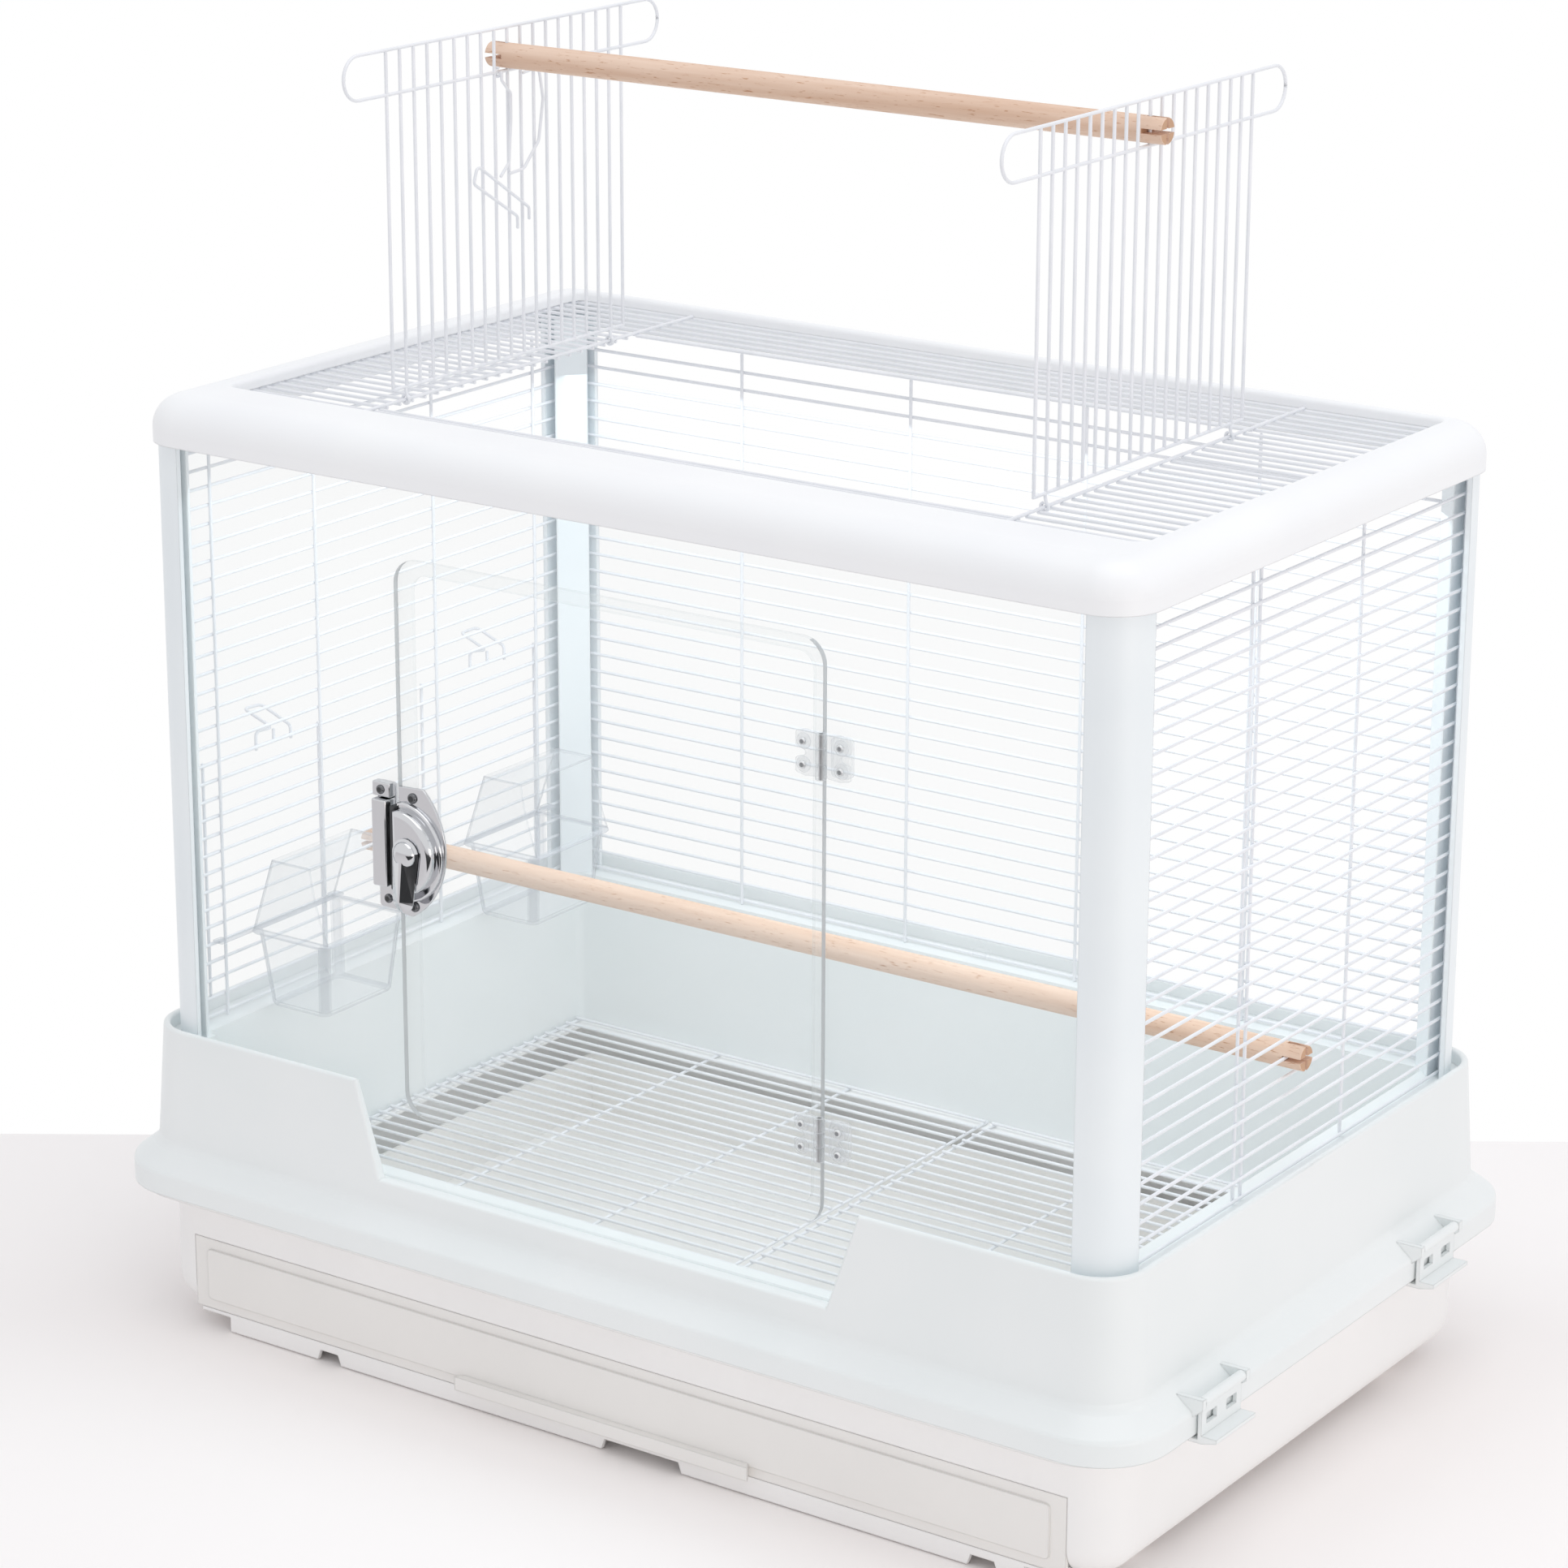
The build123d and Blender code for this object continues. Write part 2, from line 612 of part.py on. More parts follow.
def corner_post(side_x, side_y, slot):
    with BuildPart() as post:
        with BuildSketch(Plane.XY.offset(BODY_LEDGE)) as section:
            middle_x = side_x * (half_length - POST_SIZE / 2)
            middle_y = side_y * (half_width - POST_SIZE / 2)
            with Locations((middle_x, middle_y)):
                Rectangle(POST_SIZE, POST_SIZE)
            far_corner = (side_x * BODY_LENGTH, side_y * BODY_WIDTH, 0)
            fillet(section.vertices().sort_by_distance(far_corner)[0], POST_ROUND)
            slot_y = half_width - POST_SKIN - slot / 2
            with Locations((side_x * (half_length - POST_SIZE + POST_SLOT_DEPTH / 2), side_y * slot_y)):
                Rectangle(POST_SLOT_DEPTH, slot, mode=Mode.SUBTRACT)
            slot_x = half_length - POST_SKIN - WIRE_SLOT / 2
            with Locations((side_x * slot_x, side_y * (half_width - POST_SIZE + SIDE_SLOT_DEPTH / 2))):
                Rectangle(WIRE_SLOT, SIDE_SLOT_DEPTH, mode=Mode.SUBTRACT)
            # The inner corner is cut back at a slant between the two slots
            inner_x = side_x * (half_length - POST_SIZE)
            inner_y = side_y * (half_width - POST_SIZE)
            with BuildLine():
                Polyline(
                    (inner_x, inner_y),
                    (side_x * (half_length - POST_SKIN - WIRE_SLOT - 1), inner_y),
                    (inner_x, side_y * (half_width - POST_SKIN - slot - 1)),
                    close=True,
                )
            make_face(mode=Mode.SUBTRACT)
        extrude(amount=post_top - BODY_LEDGE)
    return post.part


for side_name, side_x in (("left", -1), ("right", 1)):
    save(corner_post(side_x, -1, front_slot), "post_front_" + side_name)
    save(corner_post(side_x, 1, WIRE_SLOT), "post_rear_" + side_name)

# Wire panels: a layer of level wires and a layer of uprights, fused where they cross

level_wires = [
    PERCH_WIRE_Z + PANEL_PITCH * step
    for step in range(-PANEL_WIRES_BELOW, PANEL_WIRES_ABOVE + 1)
]
upright_foot = BODY_LEDGE + GAP
upright_top = BODY_TOP - GAP
upright_length = upright_top - upright_foot
upright_middle = (upright_top + upright_foot) / 2
side_span = 2 * (half_width - POST_SIZE + SIDE_SLOT_DEPTH - SLOT_END_GAP)
back_span = 2 * (half_length - POST_SIZE + POST_SLOT_DEPTH - SLOT_END_GAP)


def side_panel_wires(side, uprights):
    for wire_z in level_wires:
        bar(WIRE, side_span, WIRE, (side * side_wire_x, 0, wire_z))
    for upright_y in uprights:
        bar(WIRE, WIRE, upright_length, (side * (side_wire_x - layer_step), upright_y, upright_middle))


with BuildPart() as right_wire_panel:
    side_panel_wires(1, RIGHT_UPRIGHTS)
save(right_wire_panel.part, "right_wire_panel")

with BuildPart() as left_wire_panel:
    side_panel_wires(-1, LEFT_UPRIGHTS)
    opening_middle = (FEEDER_OPENING_TOP + FEEDER_OPENING_BOTTOM) / 2
    for low_y, high_y in FEEDER_OPENINGS:
        with Locations((-side_wire_x, (low_y + high_y) / 2, opening_middle)):
            Box(3 * WIRE, high_y - low_y, FEEDER_OPENING_TOP - FEEDER_OPENING_BOTTOM, mode=Mode.SUBTRACT)
        for upright_y in (low_y - WIRE / 2 + WIRE_BITE, high_y + WIRE / 2 - WIRE_BITE):
            bar(WIRE, WIRE, upright_length, (-side_wire_x + layer_step, upright_y, upright_middle))
save(left_wire_panel.part, "left_wire_panel")

with BuildPart() as back_wire_panel:
    for wire_z in level_wires:
        bar(back_span, WIRE, WIRE, (0, back_wire_y, wire_z))
    for upright_x in BACK_UPRIGHTS:
        bar(WIRE, WIRE, upright_length, (upright_x, back_wire_y - layer_step, upright_middle))
save(back_wire_panel.part, "back_wire_panel")

# Clear clip on the lowest wire of the back panel

with BuildPart() as panel_clip:
    clip_z = level_wires[0]
    clip_y = back_wire_y - WIRE / 2 - GAP
    with BuildSketch(Plane.YZ.offset(CLIP_X)):
        with BuildLine():
            Polyline(
                (clip_y, clip_z - WIRE / 2 + GAP),
                (clip_y, clip_z + WIRE / 2 + GAP),
                (clip_y + WIRE + 2 * GAP, clip_z + WIRE / 2 + GAP),
                (clip_y + WIRE + 2 * GAP, clip_z - WIRE / 2 + GAP),
                (clip_y + 2 * WIRE, clip_z - WIRE / 2 + GAP),
                (clip_y + 2 * WIRE, clip_z + 2 * WIRE),
                (clip_y - WIRE, clip_z + 2 * WIRE),
                (clip_y - WIRE, clip_z - WIRE / 2 + GAP),
                close=True,
            )
        make_face()
    extrude(amount=CLIP_LENGTH)
save(panel_clip.part, "panel_clip")

# Feeder doors: wire grids outside the left panel, each with a bent wire pull

door_wire_x = -side_wire_x - WIRE - GAP
first_door_wire = PANEL_WIRES_BELOW - 5
feeder_door_wires = level_wires[first_door_wire:first_door_wire + FEEDER_DOOR_WIRES]
feeder_door_top = feeder_door_wires[-1]


def feeder_door(low_y, high_y):
    left_y = low_y - FEEDER_DOOR_OVERLAP_LEFT
    right_y = high_y + FEEDER_DOOR_OVERLAP_RIGHT
    middle_y = (low_y + high_y) / 2
    upright_x = door_wire_x - layer_step
    with BuildPart() as door:
        for wire_z in feeder_door_wires:
            bar(WIRE, right_y - left_y, WIRE, (door_wire_x, (left_y + right_y) / 2, wire_z))
        for edge_y in (left_y + WIRE / 2, right_y - WIRE / 2):
            bar(
                WIRE,
                WIRE,
                feeder_door_wires[-1] - feeder_door_wires[0] + WIRE,
                (upright_x, edge_y, (feeder_door_wires[-1] + feeder_door_wires[0]) / 2),
            )
        pull_foot = (upright_x, middle_y - PULL_WIRE_WIDTH / 2, feeder_door_top - PULL_TIP)
        with BuildLine() as pull_path:
            FilletPolyline(
                pull_foot,
                (upright_x, middle_y - PULL_WIRE_WIDTH / 2, feeder_door_top),
                (
                    upright_x - PULL_WIRE_REACH,
                    middle_y - PULL_WIRE_WIDTH / 2,
                    feeder_door_top + PULL_WIRE_RISE,
                ),
                (
                    upright_x - PULL_WIRE_REACH,
                    middle_y + PULL_WIRE_WIDTH / 2,
                    feeder_door_top + PULL_WIRE_RISE,
                ),
                (upright_x, middle_y + PULL_WIRE_WIDTH / 2, feeder_door_top),
                (upright_x, middle_y + PULL_WIRE_WIDTH / 2, feeder_door_top - PULL_TIP),
                radius=2 * WIRE,
            )
        with BuildSketch(Plane(origin=pull_foot, z_dir=(0, 0, 1))):
            Circle(WIRE / 2)
        sweep(path=pull_path.wires()[0])
    return door.part


save(feeder_door(*FEEDER_OPENINGS[0]), "feeder_door_front")
save(feeder_door(*FEEDER_OPENINGS[1]), "feeder_door_rear")

# Feeder cups: a tapered clear cup with a rim and two winged tabs that hang on the panel

cup_back = -side_wire_x + layer_step + WIRE / 2 + GAP
cup_top = level_wires[PANEL_WIRES_BELOW - 2] + WIRE / 2 + GAP + CUP_WALL
tab_end = -side_wire_x - WIRE / 2


def feeder_cup(middle_y, low_y, high_y):
    middle_x = cup_back + CUP_REACH / 2
    wing_low = low_y - CUP_WING
    wing_high = high_y + CUP_WING
    with BuildPart() as cup:
        with BuildSketch(Plane.XY.offset(cup_top)):
            with Locations((middle_x, middle_y)):
                RectangleRounded(CUP_REACH - 2 * CUP_RIM, CUP_LENGTH - 2 * CUP_RIM, CUP_CORNER)
        with BuildSketch(Plane.XY.offset(cup_top - CUP_HEIGHT)):
            with Locations((middle_x, middle_y)):
                RectangleRounded(
                    CUP_REACH - 2 * CUP_RIM - 2 * CUP_TAPER,
                    CUP_LENGTH - 2 * CUP_RIM - 2 * CUP_TAPER,
                    CUP_CORNER,
                )
        loft(ruled=True)
        offset(amount=-CUP_WALL, openings=cup.faces().sort_by(Axis.Z)[-1])
        with BuildSketch(Plane.XY.offset(cup_top - CUP_WALL)):
            with Locations((middle_x, middle_y)):
                RectangleRounded(CUP_REACH, CUP_LENGTH, CUP_CORNER + CUP_RIM)
            # Wings at the back, each with a tab that rests on a wire beside the opening
            with Locations((cup_back + CUP_RIM / 2, (wing_low + wing_high) / 2)):
                Rectangle(CUP_RIM, wing_high - wing_low)
            for tab_y in (wing_low + CUP_TAB / 2, wing_high - CUP_TAB / 2):
                with Locations(((tab_end + cup_back + CUP_RIM) / 2, tab_y)):
                    Rectangle(cup_back + CUP_RIM - tab_end, CUP_TAB)
            with Locations((middle_x, middle_y)):
                RectangleRounded(
                    CUP_REACH - 2 * CUP_RIM - 2 * CUP_WALL,
                    CUP_LENGTH - 2 * CUP_RIM - 2 * CUP_WALL,
                    CUP_CORNER - CUP_WALL,
                    mode=Mode.SUBTRACT,
                )
        extrude(amount=CUP_WALL)
    return cup.part


def feeder_hood(middle_y):
    hood_bottom = cup_top
    back_x = cup_back + CUP_RIM
    front_x = cup_back + CUP_REACH - CUP_RIM
    width = CUP_LENGTH - 2 * CUP_RIM
    with BuildPart() as hood:
        with BuildSketch(Plane.XZ.offset(-middle_y - width / 2)) as profile:
            with BuildLine():
                Polyline(
                    (back_x, hood_bottom),
                    (back_x + HOOD_TOP_BACK - CUP_RIM, hood_bottom + HOOD_HEIGHT),
                    (front_x - HOOD_TOP_FRONT + CUP_RIM, hood_bottom + HOOD_HEIGHT),
                    (front_x, hood_bottom),
                    close=True,
                )
            make_face()
        extrude(amount=width)
        inner_back = back_x + HOOD_WALL
        inner_top = hood_bottom + HOOD_HEIGHT - HOOD_WALL
        with BuildSketch(Plane.XZ.offset(-middle_y - width / 2 + HOOD_WALL)):
            with BuildLine():
                Polyline(
                    (inner_back, hood_bottom),
                    (inner_back + HOOD_TOP_BACK - CUP_RIM, inner_top),
                    (front_x, inner_top),
                    (front_x + HOOD_WALL, hood_bottom),
                    close=True,
                )
            make_face()
        extrude(amount=width - 2 * HOOD_WALL, mode=Mode.SUBTRACT)
    return hood.part


for place_name, cup_y, (low_y, high_y) in zip(("front", "rear"), CUP_Y, FEEDER_OPENINGS):
    save(feeder_cup(cup_y, low_y, high_y), "feeder_cup_" + place_name)
    save(feeder_hood(cup_y), "feeder_hood_" + place_name)

# Wooden perches: a rod with a cross kerf sawn in each end


def perch(low_x, high_x, axis_y, axis_z, kerf_depth):
    with BuildPart() as rod:
        with Locations(Location(((low_x + high_x) / 2, axis_y, axis_z), (0, 90, 0))):
            Cylinder(PERCH_RADIUS, high_x - low_x)
        fillet(rod.edges().filter_by(GeomType.CIRCLE), PERCH_ROUND)
        for end_x, inward in ((low_x, 1), (high_x, -1)):
            with Locations((end_x + inward * kerf_depth / 2, axis_y, axis_z)):
                Box(kerf_depth, KERF, 2 * PERCH_RADIUS, mode=Mode.SUBTRACT)
                Box(kerf_depth, 2 * PERCH_RADIUS, KERF, mode=Mode.SUBTRACT)
    return rod.part


lower_perch_end = side_wire_x + LOWER_PERCH_PROUD
lower_kerf = LOWER_PERCH_PROUD + WIRE / 2 + GAP
save(
    perch(-lower_perch_end, lower_perch_end, LOWER_PERCH_Y, PERCH_WIRE_Z, lower_kerf),
    "lower_perch",
)

pivot_z = grille_roof_z + layer_step
roof_perch_end = ROOF_DOOR_X + ROOF_PERCH_PROUD
roof_perch_z = pivot_z + RAIL_LOW + WIRE / 2 + GAP + PERCH_RADIUS
roof_kerf = ROOF_PERCH_PROUD + WIRE / 2 + GAP
save(perch(-roof_perch_end, roof_perch_end, 0, roof_perch_z, roof_kerf), "roof_perch")

# Clear front panel, with the opening that the door covers

panel_half = half_length - POST_SIZE + POST_SLOT_DEPTH - GAP
panel_bottom = FRONT_LEDGE + GAP
panel_corner_z = BODY_LEDGE + GAP
opening_length = DOOR_LENGTH - 2 * DOOR_OVERLAP
opening_bottom = DOOR_BOTTOM + DOOR_OVERLAP
opening_height = DOOR_TOP - DOOR_BOTTOM - 2 * DOOR_OVERLAP

with BuildPart() as front_panel:
    with BuildSketch(Plane.XZ.offset(-front_panel_face)):
        with BuildLine():
            Polyline(
                (-front_channel_length / 2 + GAP, panel_bottom),
                (front_channel_length / 2 - GAP, panel_bottom),
                (front_channel_length / 2 - GAP, panel_corner_z),
                (panel_half, panel_corner_z),
                (panel_half, BODY_TOP),
                (-panel_half, BODY_TOP),
                (-panel_half, panel_corner_z),
                (-front_channel_length / 2 + GAP, panel_corner_z),
                close=True,
            )
        make_face()
        with Locations((0, opening_bottom + opening_height / 2)):
            RectangleRounded(
                opening_length,
                opening_height,
                DOOR_CORNER - DOOR_OVERLAP / 2,
                mode=Mode.SUBTRACT,
            )
    extrude(amount=-SHEET)
save(front_panel.part, "front_panel")

# Clear front door, hinged on its right edge

with BuildPart() as front_door:
    with BuildSketch(Plane.XZ.offset(-door_face)):
        with Locations((0, (DOOR_TOP + DOOR_BOTTOM) / 2)):
            RectangleRounded(DOOR_LENGTH, DOOR_TOP - DOOR_BOTTOM, DOOR_CORNER)
    extrude(amount=-SHEET)
save(front_door.part, "front_door")

# Clear hinges: two leaves with interleaved knuckles on a pin, and their screws

hinge_x = DOOR_LENGTH / 2 + HINGE_AXIS_OUT
hinge_y = door_face - HINGE_BARREL_RADIUS - GAP
knuckle = HINGE_HEIGHT / 3
leaf_face = door_face - HINGE_LEAF_THICKNESS
screw_spread = HINGE_HEIGHT / 2
screw_inset = HINGE_LEAF - HINGE_SCREW_INSET


def hinge_leaf(middle_z, side, mounting_face, knuckle_middles):
    far_x = hinge_x + side * HINGE_LEAF
    near_x = hinge_x + side * (HINGE_BARREL_RADIUS + HINGE_GAP)
    with BuildPart() as leaf:
        bar(
            abs(far_x - near_x),
            mounting_face - leaf_face,
            HINGE_HEIGHT,
            ((far_x + near_x) / 2, (mounting_face + leaf_face) / 2, middle_z),
        )
        fillet(leaf.edges().filter_by(Axis.Y).sort_by(Axis.X, reverse=side > 0)[0:2], HINGE_ROUND)
        for knuckle_z in knuckle_middles:
            bar(
                abs(near_x - hinge_x) + 1,
                HINGE_LEAF_THICKNESS,
                knuckle - HINGE_GAP,
                (
                    (near_x + hinge_x + side) / 2,
                    leaf_face + HINGE_LEAF_THICKNESS / 2,
                    knuckle_z,
                ),
            )
            with Locations((hinge_x, hinge_y, knuckle_z)):
                Cylinder(HINGE_BARREL_RADIUS, knuckle - HINGE_GAP)
        with Locations((hinge_x, hinge_y, middle_z)):
            Cylinder(HINGE_PIN_RADIUS + PIN_CLEARANCE, HINGE_HEIGHT, mode=Mode.SUBTRACT)
        for end in (-1, 1):
            screw_place = (hinge_x + side * screw_inset, leaf_face, middle_z + end * screw_spread / 2)
            with Locations(Location(screw_place, (90, 0, 0))):
                Cylinder(SCREW_SHANK_RADIUS + PIN_CLEARANCE, 4 * SHEET, mode=Mode.SUBTRACT)
    return leaf.part


def hinge_screws(side):
    with BuildPart() as screws:
        for middle_z in HINGE_Z:
            for end in (-1, 1):
                x = hinge_x + side * screw_inset
                z = middle_z + end * screw_spread / 2
                with Locations(Location((x, leaf_face, z), (90, 0, 0))):
                    Cylinder(
                        SCREW_HEAD_RADIUS,
                        SCREW_HEAD,
                        align=(Align.CENTER, Align.CENTER, Align.MIN),
                    )
                    Cylinder(
                        SCREW_SHANK_RADIUS,
                        HINGE_LEAF_THICKNESS - PIN_CLEARANCE,
                        align=(Align.CENTER, Align.CENTER, Align.MAX),
                    )
    return screws.part


for place_name, middle_z in zip(("lower", "upper"), HINGE_Z):
    outer_knuckles = (middle_z - knuckle, middle_z + knuckle)
    save(hinge_leaf(middle_z, -1, door_face, outer_knuckles), place_name + "_hinge_door_leaf")
    save(hinge_leaf(middle_z, 1, front_panel_face, (middle_z,)), place_name + "_hinge_panel_leaf")
    with BuildPart() as hinge_pin:
        with Locations((hinge_x, hinge_y, middle_z)):
            Cylinder(HINGE_PIN_RADIUS, HINGE_HEIGHT - HINGE_GAP)
    save(hinge_pin.part, place_name + "_hinge_pin")
save(hinge_screws(-1), "hinge_screws_door")
save(hinge_screws(1), "hinge_screws_panel")

# Crescent lock: a half-moon case on the door, a lever on its pivot, and screws

lock_left = -DOOR_LENGTH / 2 + LOCK_INSET
lock_bottom = LOCK_Z - LOCK_HEIGHT / 2
lock_top = LOCK_Z + LOCK_HEIGHT / 2
case_face = door_face - LOCK_BASE
pivot_x = lock_left + LOCK_PIVOT_INSET
lock_pivot_z = LOCK_Z + LOCK_PIVOT_RISE
lever_face = door_face - LOCK_DEPTH - GAP

with BuildPart() as lock_case:
    with BuildSketch(Plane.XZ.offset(-door_face)):
        with BuildLine():
            ThreePointArc(
                (lock_left + LOCK_BASE_FOOT, lock_bottom),
                (lock_left + LOCK_LENGTH, lock_pivot_z),
                (lock_left + LOCK_BASE_HEAD, lock_top),
            )
            Polyline(
                (lock_left + LOCK_BASE_HEAD, lock_top),
                (lock_left, lock_top),
                (lock_left, lock_bottom),
                (lock_left + LOCK_BASE_FOOT, lock_bottom),
            )
        make_face()
    extrude(amount=LOCK_BASE)
    with BuildSketch(Plane.XZ.offset(-case_face)):
        with BuildLine():
            ThreePointArc(
                (lock_left, lock_bottom + LOCK_COVER_INSET),
                (lock_left + LOCK_COVER_LENGTH, LOCK_Z),
                (lock_left, lock_top - LOCK_COVER_INSET),
            )
            Line(
                (lock_left, lock_top - LOCK_COVER_INSET),
                (lock_left, lock_bottom + LOCK_COVER_INSET),
            )
        make_face()
    extrude(amount=LOCK_DEPTH - LOCK_BASE)
    fillet(lock_case.faces().sort_by(Axis.Y)[0].edges().filter_by(GeomType.CIRCLE), LOCK_ROUND)
    with Locations(Location((pivot_x, lever_face, lock_pivot_z), (90, 0, 0))):
        Cylinder(LEVER_STEM_RADIUS + PIN_CLEARANCE, 2 * (LOCK_DEPTH - LOCK_BASE), mode=Mode.SUBTRACT)
save(lock_case.part, "lock_case")

with BuildPart() as lock_lever:
    with BuildSketch(Plane.XZ.offset(-lever_face)):
        with Locations((pivot_x, lock_pivot_z)):
            Circle(LEVER_HUB_RADIUS)
        with Locations((pivot_x - LEVER_LEAN, lock_pivot_z - LEVER_LENGTH + LEVER_TIP_RADIUS)):
            Circle(LEVER_TIP_RADIUS)
        make_hull()
    extrude(amount=LEVER_THICKNESS)
    fillet(lock_lever.faces().sort_by(Axis.Y)[0].edges(), LEVER_ROUND)
    with Locations(Location((pivot_x, lever_face, lock_pivot_z), (90, 0, 0))):
        Cylinder(
            LEVER_STEM_RADIUS,
            LOCK_DEPTH - LOCK_BASE - LEVER_STEM_SHORT,
            align=(Align.CENTER, Align.CENTER, Align.MAX),
        )
save(lock_lever.part, "lock_lever")

# Keeper on the fixed panel: a base plate, a tall slab and a small block

keeper_right = -DOOR_LENGTH / 2 - KEEPER_GAP
keeper_left = keeper_right - KEEPER_LENGTH

with BuildPart() as lock_keeper:
    with BuildSketch(Plane.XZ.offset(-front_panel_face)):
        with Locations(((keeper_left + keeper_right) / 2, LOCK_Z)):
            RectangleRounded(KEEPER_LENGTH, KEEPER_HEIGHT, KEEPER_CORNER)
    extrude(amount=KEEPER_BASE)
    with BuildSketch(Plane.XZ.offset(-front_panel_face + KEEPER_BASE)):
        with Locations((keeper_right - KEEPER_SLAB_LENGTH / 2, LOCK_Z + KEEPER_SLAB_RISE)):
            Rectangle(KEEPER_SLAB_LENGTH, KEEPER_SLAB_HEIGHT)
    extrude(amount=KEEPER_SLAB_DEPTH)
    fillet(lock_keeper.faces().sort_by(Axis.Y)[0].edges(), KEEPER_ROUND)
save(lock_keeper.part, "lock_keeper")


def round_head_screws(screw_x, face_y, heights):
    with BuildPart() as screws:
        for height in heights:
            with Locations(Location((screw_x, face_y, height), (90, 0, 0))):
                Cylinder(SCREW_HEAD_RADIUS, SCREW_HEAD, align=(Align.CENTER, Align.CENTER, Align.MIN))
    return screws.part


save(
    round_head_screws(
        lock_left + LOCK_SCREW_INSET,
        case_face,
        (LOCK_Z - LOCK_SCREW_REACH, LOCK_Z + LOCK_SCREW_REACH),
    ),
    "lock_screws",
)
save(
    round_head_screws(
        (keeper_left + keeper_right) / 2,
        front_panel_face - KEEPER_BASE,
        (LOCK_Z - LOCK_SCREW_REACH, LOCK_Z + LOCK_SCREW_REACH),
    ),
    "keeper_screws",
)

# Roof frame: a rounded cap moulding around the top, open below

roof_length = BODY_LENGTH + 2 * ROOF_OVERHANG
roof_width = BODY_WIDTH + 2 * ROOF_OVERHANG
roof_opening_length = roof_length - 2 * ROOF_SIDE
roof_opening_width = roof_width - ROOF_FRONT - ROOF_BACK
roof_opening_y = (ROOF_FRONT - ROOF_BACK) / 2

with BuildPart() as roof_frame:
    with BuildSketch(Plane.XY.offset(BODY_TOP)):
        RectangleRounded(roof_length, roof_width, ROOF_CORNER)
    extrude(amount=ROOF_HEIGHT)
    fillet(roof_frame.faces().sort_by(Axis.Z)[-1].edges(), ROOF_ROUND)
    with BuildSketch(Plane.XY.offset(BODY_TOP)):
        RectangleRounded(roof_length - 2 * ROOF_SKIN, roof_width - 2 * ROOF_SKIN, ROOF_CORNER - ROOF_SKIN)
    extrude(amount=ROOF_HEIGHT - ROOF_ROUND, mode=Mode.SUBTRACT)
    with BuildSketch(Plane.XY.offset(BODY_TOP + ROOF_HEIGHT - ROOF_ROUND)):
        RectangleRounded(roof_length - 2 * ROOF_SKIN, roof_width - 2 * ROOF_SKIN, ROOF_CORNER - ROOF_SKIN)
    with BuildSketch(Plane.XY.offset(BODY_TOP + ROOF_HEIGHT - ROOF_TOP_SKIN)):
        RectangleRounded(
            roof_length - 2 * ROOF_SKIN - ROOF_ROUND / 2,
            roof_width - 2 * ROOF_SKIN - ROOF_ROUND / 2,
            ROOF_CORNER - ROOF_SKIN - ROOF_ROUND / 4,
        )
    loft(ruled=True, mode=Mode.SUBTRACT)
    with BuildSketch(Plane.XY.offset(BODY_TOP)):
        with Locations((0, roof_opening_y)):
            RectangleRounded(roof_opening_length, roof_opening_width, ROOF_INNER_CORNER)
    extrude(amount=ROOF_HEIGHT, mode=Mode.SUBTRACT)
    fillet(roof_frame.faces().sort_by(Axis.Z)[-1].inner_wires()[0].edges(), ROOF_INNER_ROUND)
    # Bosses that stand on the corner posts
    with BuildSketch(Plane.XY.offset(post_top)):
        with GridLocations(
            BODY_LENGTH - 2 * ROOF_BOSS_INSET,
            BODY_WIDTH - 2 * ROOF_BOSS_INSET,
            2,
            2,
        ):
            Rectangle(ROOF_BOSS, ROOF_BOSS)
    extrude(amount=ROOF_ROUND - ROOF_TOP_SKIN)
save(roof_frame.part, "roof_frame")

# Roof grille: wires along X under the frame's inner edge, with the door opening

grille_length = roof_opening_length + 2 * ROOF_GRILLE_TUCK
grille_width = roof_opening_width + 2 * ROOF_GRILLE_TUCK
roof_wires = floor((grille_width - WIRE) / ROOF_PITCH) + 1

with BuildPart() as roof_grille:
    with Locations(Location((0, roof_opening_y, grille_roof_z))):
        with GridLocations(1, ROOF_PITCH, 1, roof_wires):
            Box(grille_length, WIRE, WIRE)
    with Locations((0, 0, grille_roof_z)):
        Box(2 * ROOF_DOOR_X - WIRE, ROOF_DOOR_OPENING, 2 * WIRE, mode=Mode.SUBTRACT)
    for bar_x in (-ROOF_DOOR_X, ROOF_DOOR_X):
        bar(WIRE, roof_opening_width - 2 * GAP, WIRE, (bar_x, roof_opening_y, grille_roof_z + layer_step))
    for bar_x in (-grille_length / 2 + WIRE / 2, grille_length / 2 - WIRE / 2):
        bar(WIRE, grille_width, WIRE, (bar_x, roof_opening_y, grille_roof_z - layer_step))
    for edge in (-1, 1):
        bar(2 * ROOF_DOOR_X, WIRE, WIRE, (0, edge * ROOF_DOOR_OPENING / 2, grille_roof_z))
save(roof_grille.part, "roof_grille")

# Roof doors: uprights between a bottom bar and a looped double rail, on two eyes

door_bar_z = pivot_z + DOOR_BAR
door_half = ROOF_DOOR_PITCH * (ROOF_DOOR_WIRES - 1) / 2
rail_middle = pivot_z + (RAIL_LOW + RAIL_HIGH) / 2
rail_height = RAIL_HIGH - RAIL_LOW
eye_radius = WIRE * 0.5 ** 0.5 + PIN_CLEARANCE
upright_door_length = RAIL_HIGH - DOOR_BAR
# Each eye sits midway between two wires of the grille
first_roof_wire = roof_opening_y - ROOF_PITCH * (roof_wires - 1) / 2
eye_places = [
    first_roof_wire + ROOF_PITCH * (floor((wanted_y - first_roof_wire) / ROOF_PITCH) + 0.5)
    for wanted_y in (-door_half + ROOF_DOOR_PITCH, door_half - ROOF_DOOR_PITCH)
]


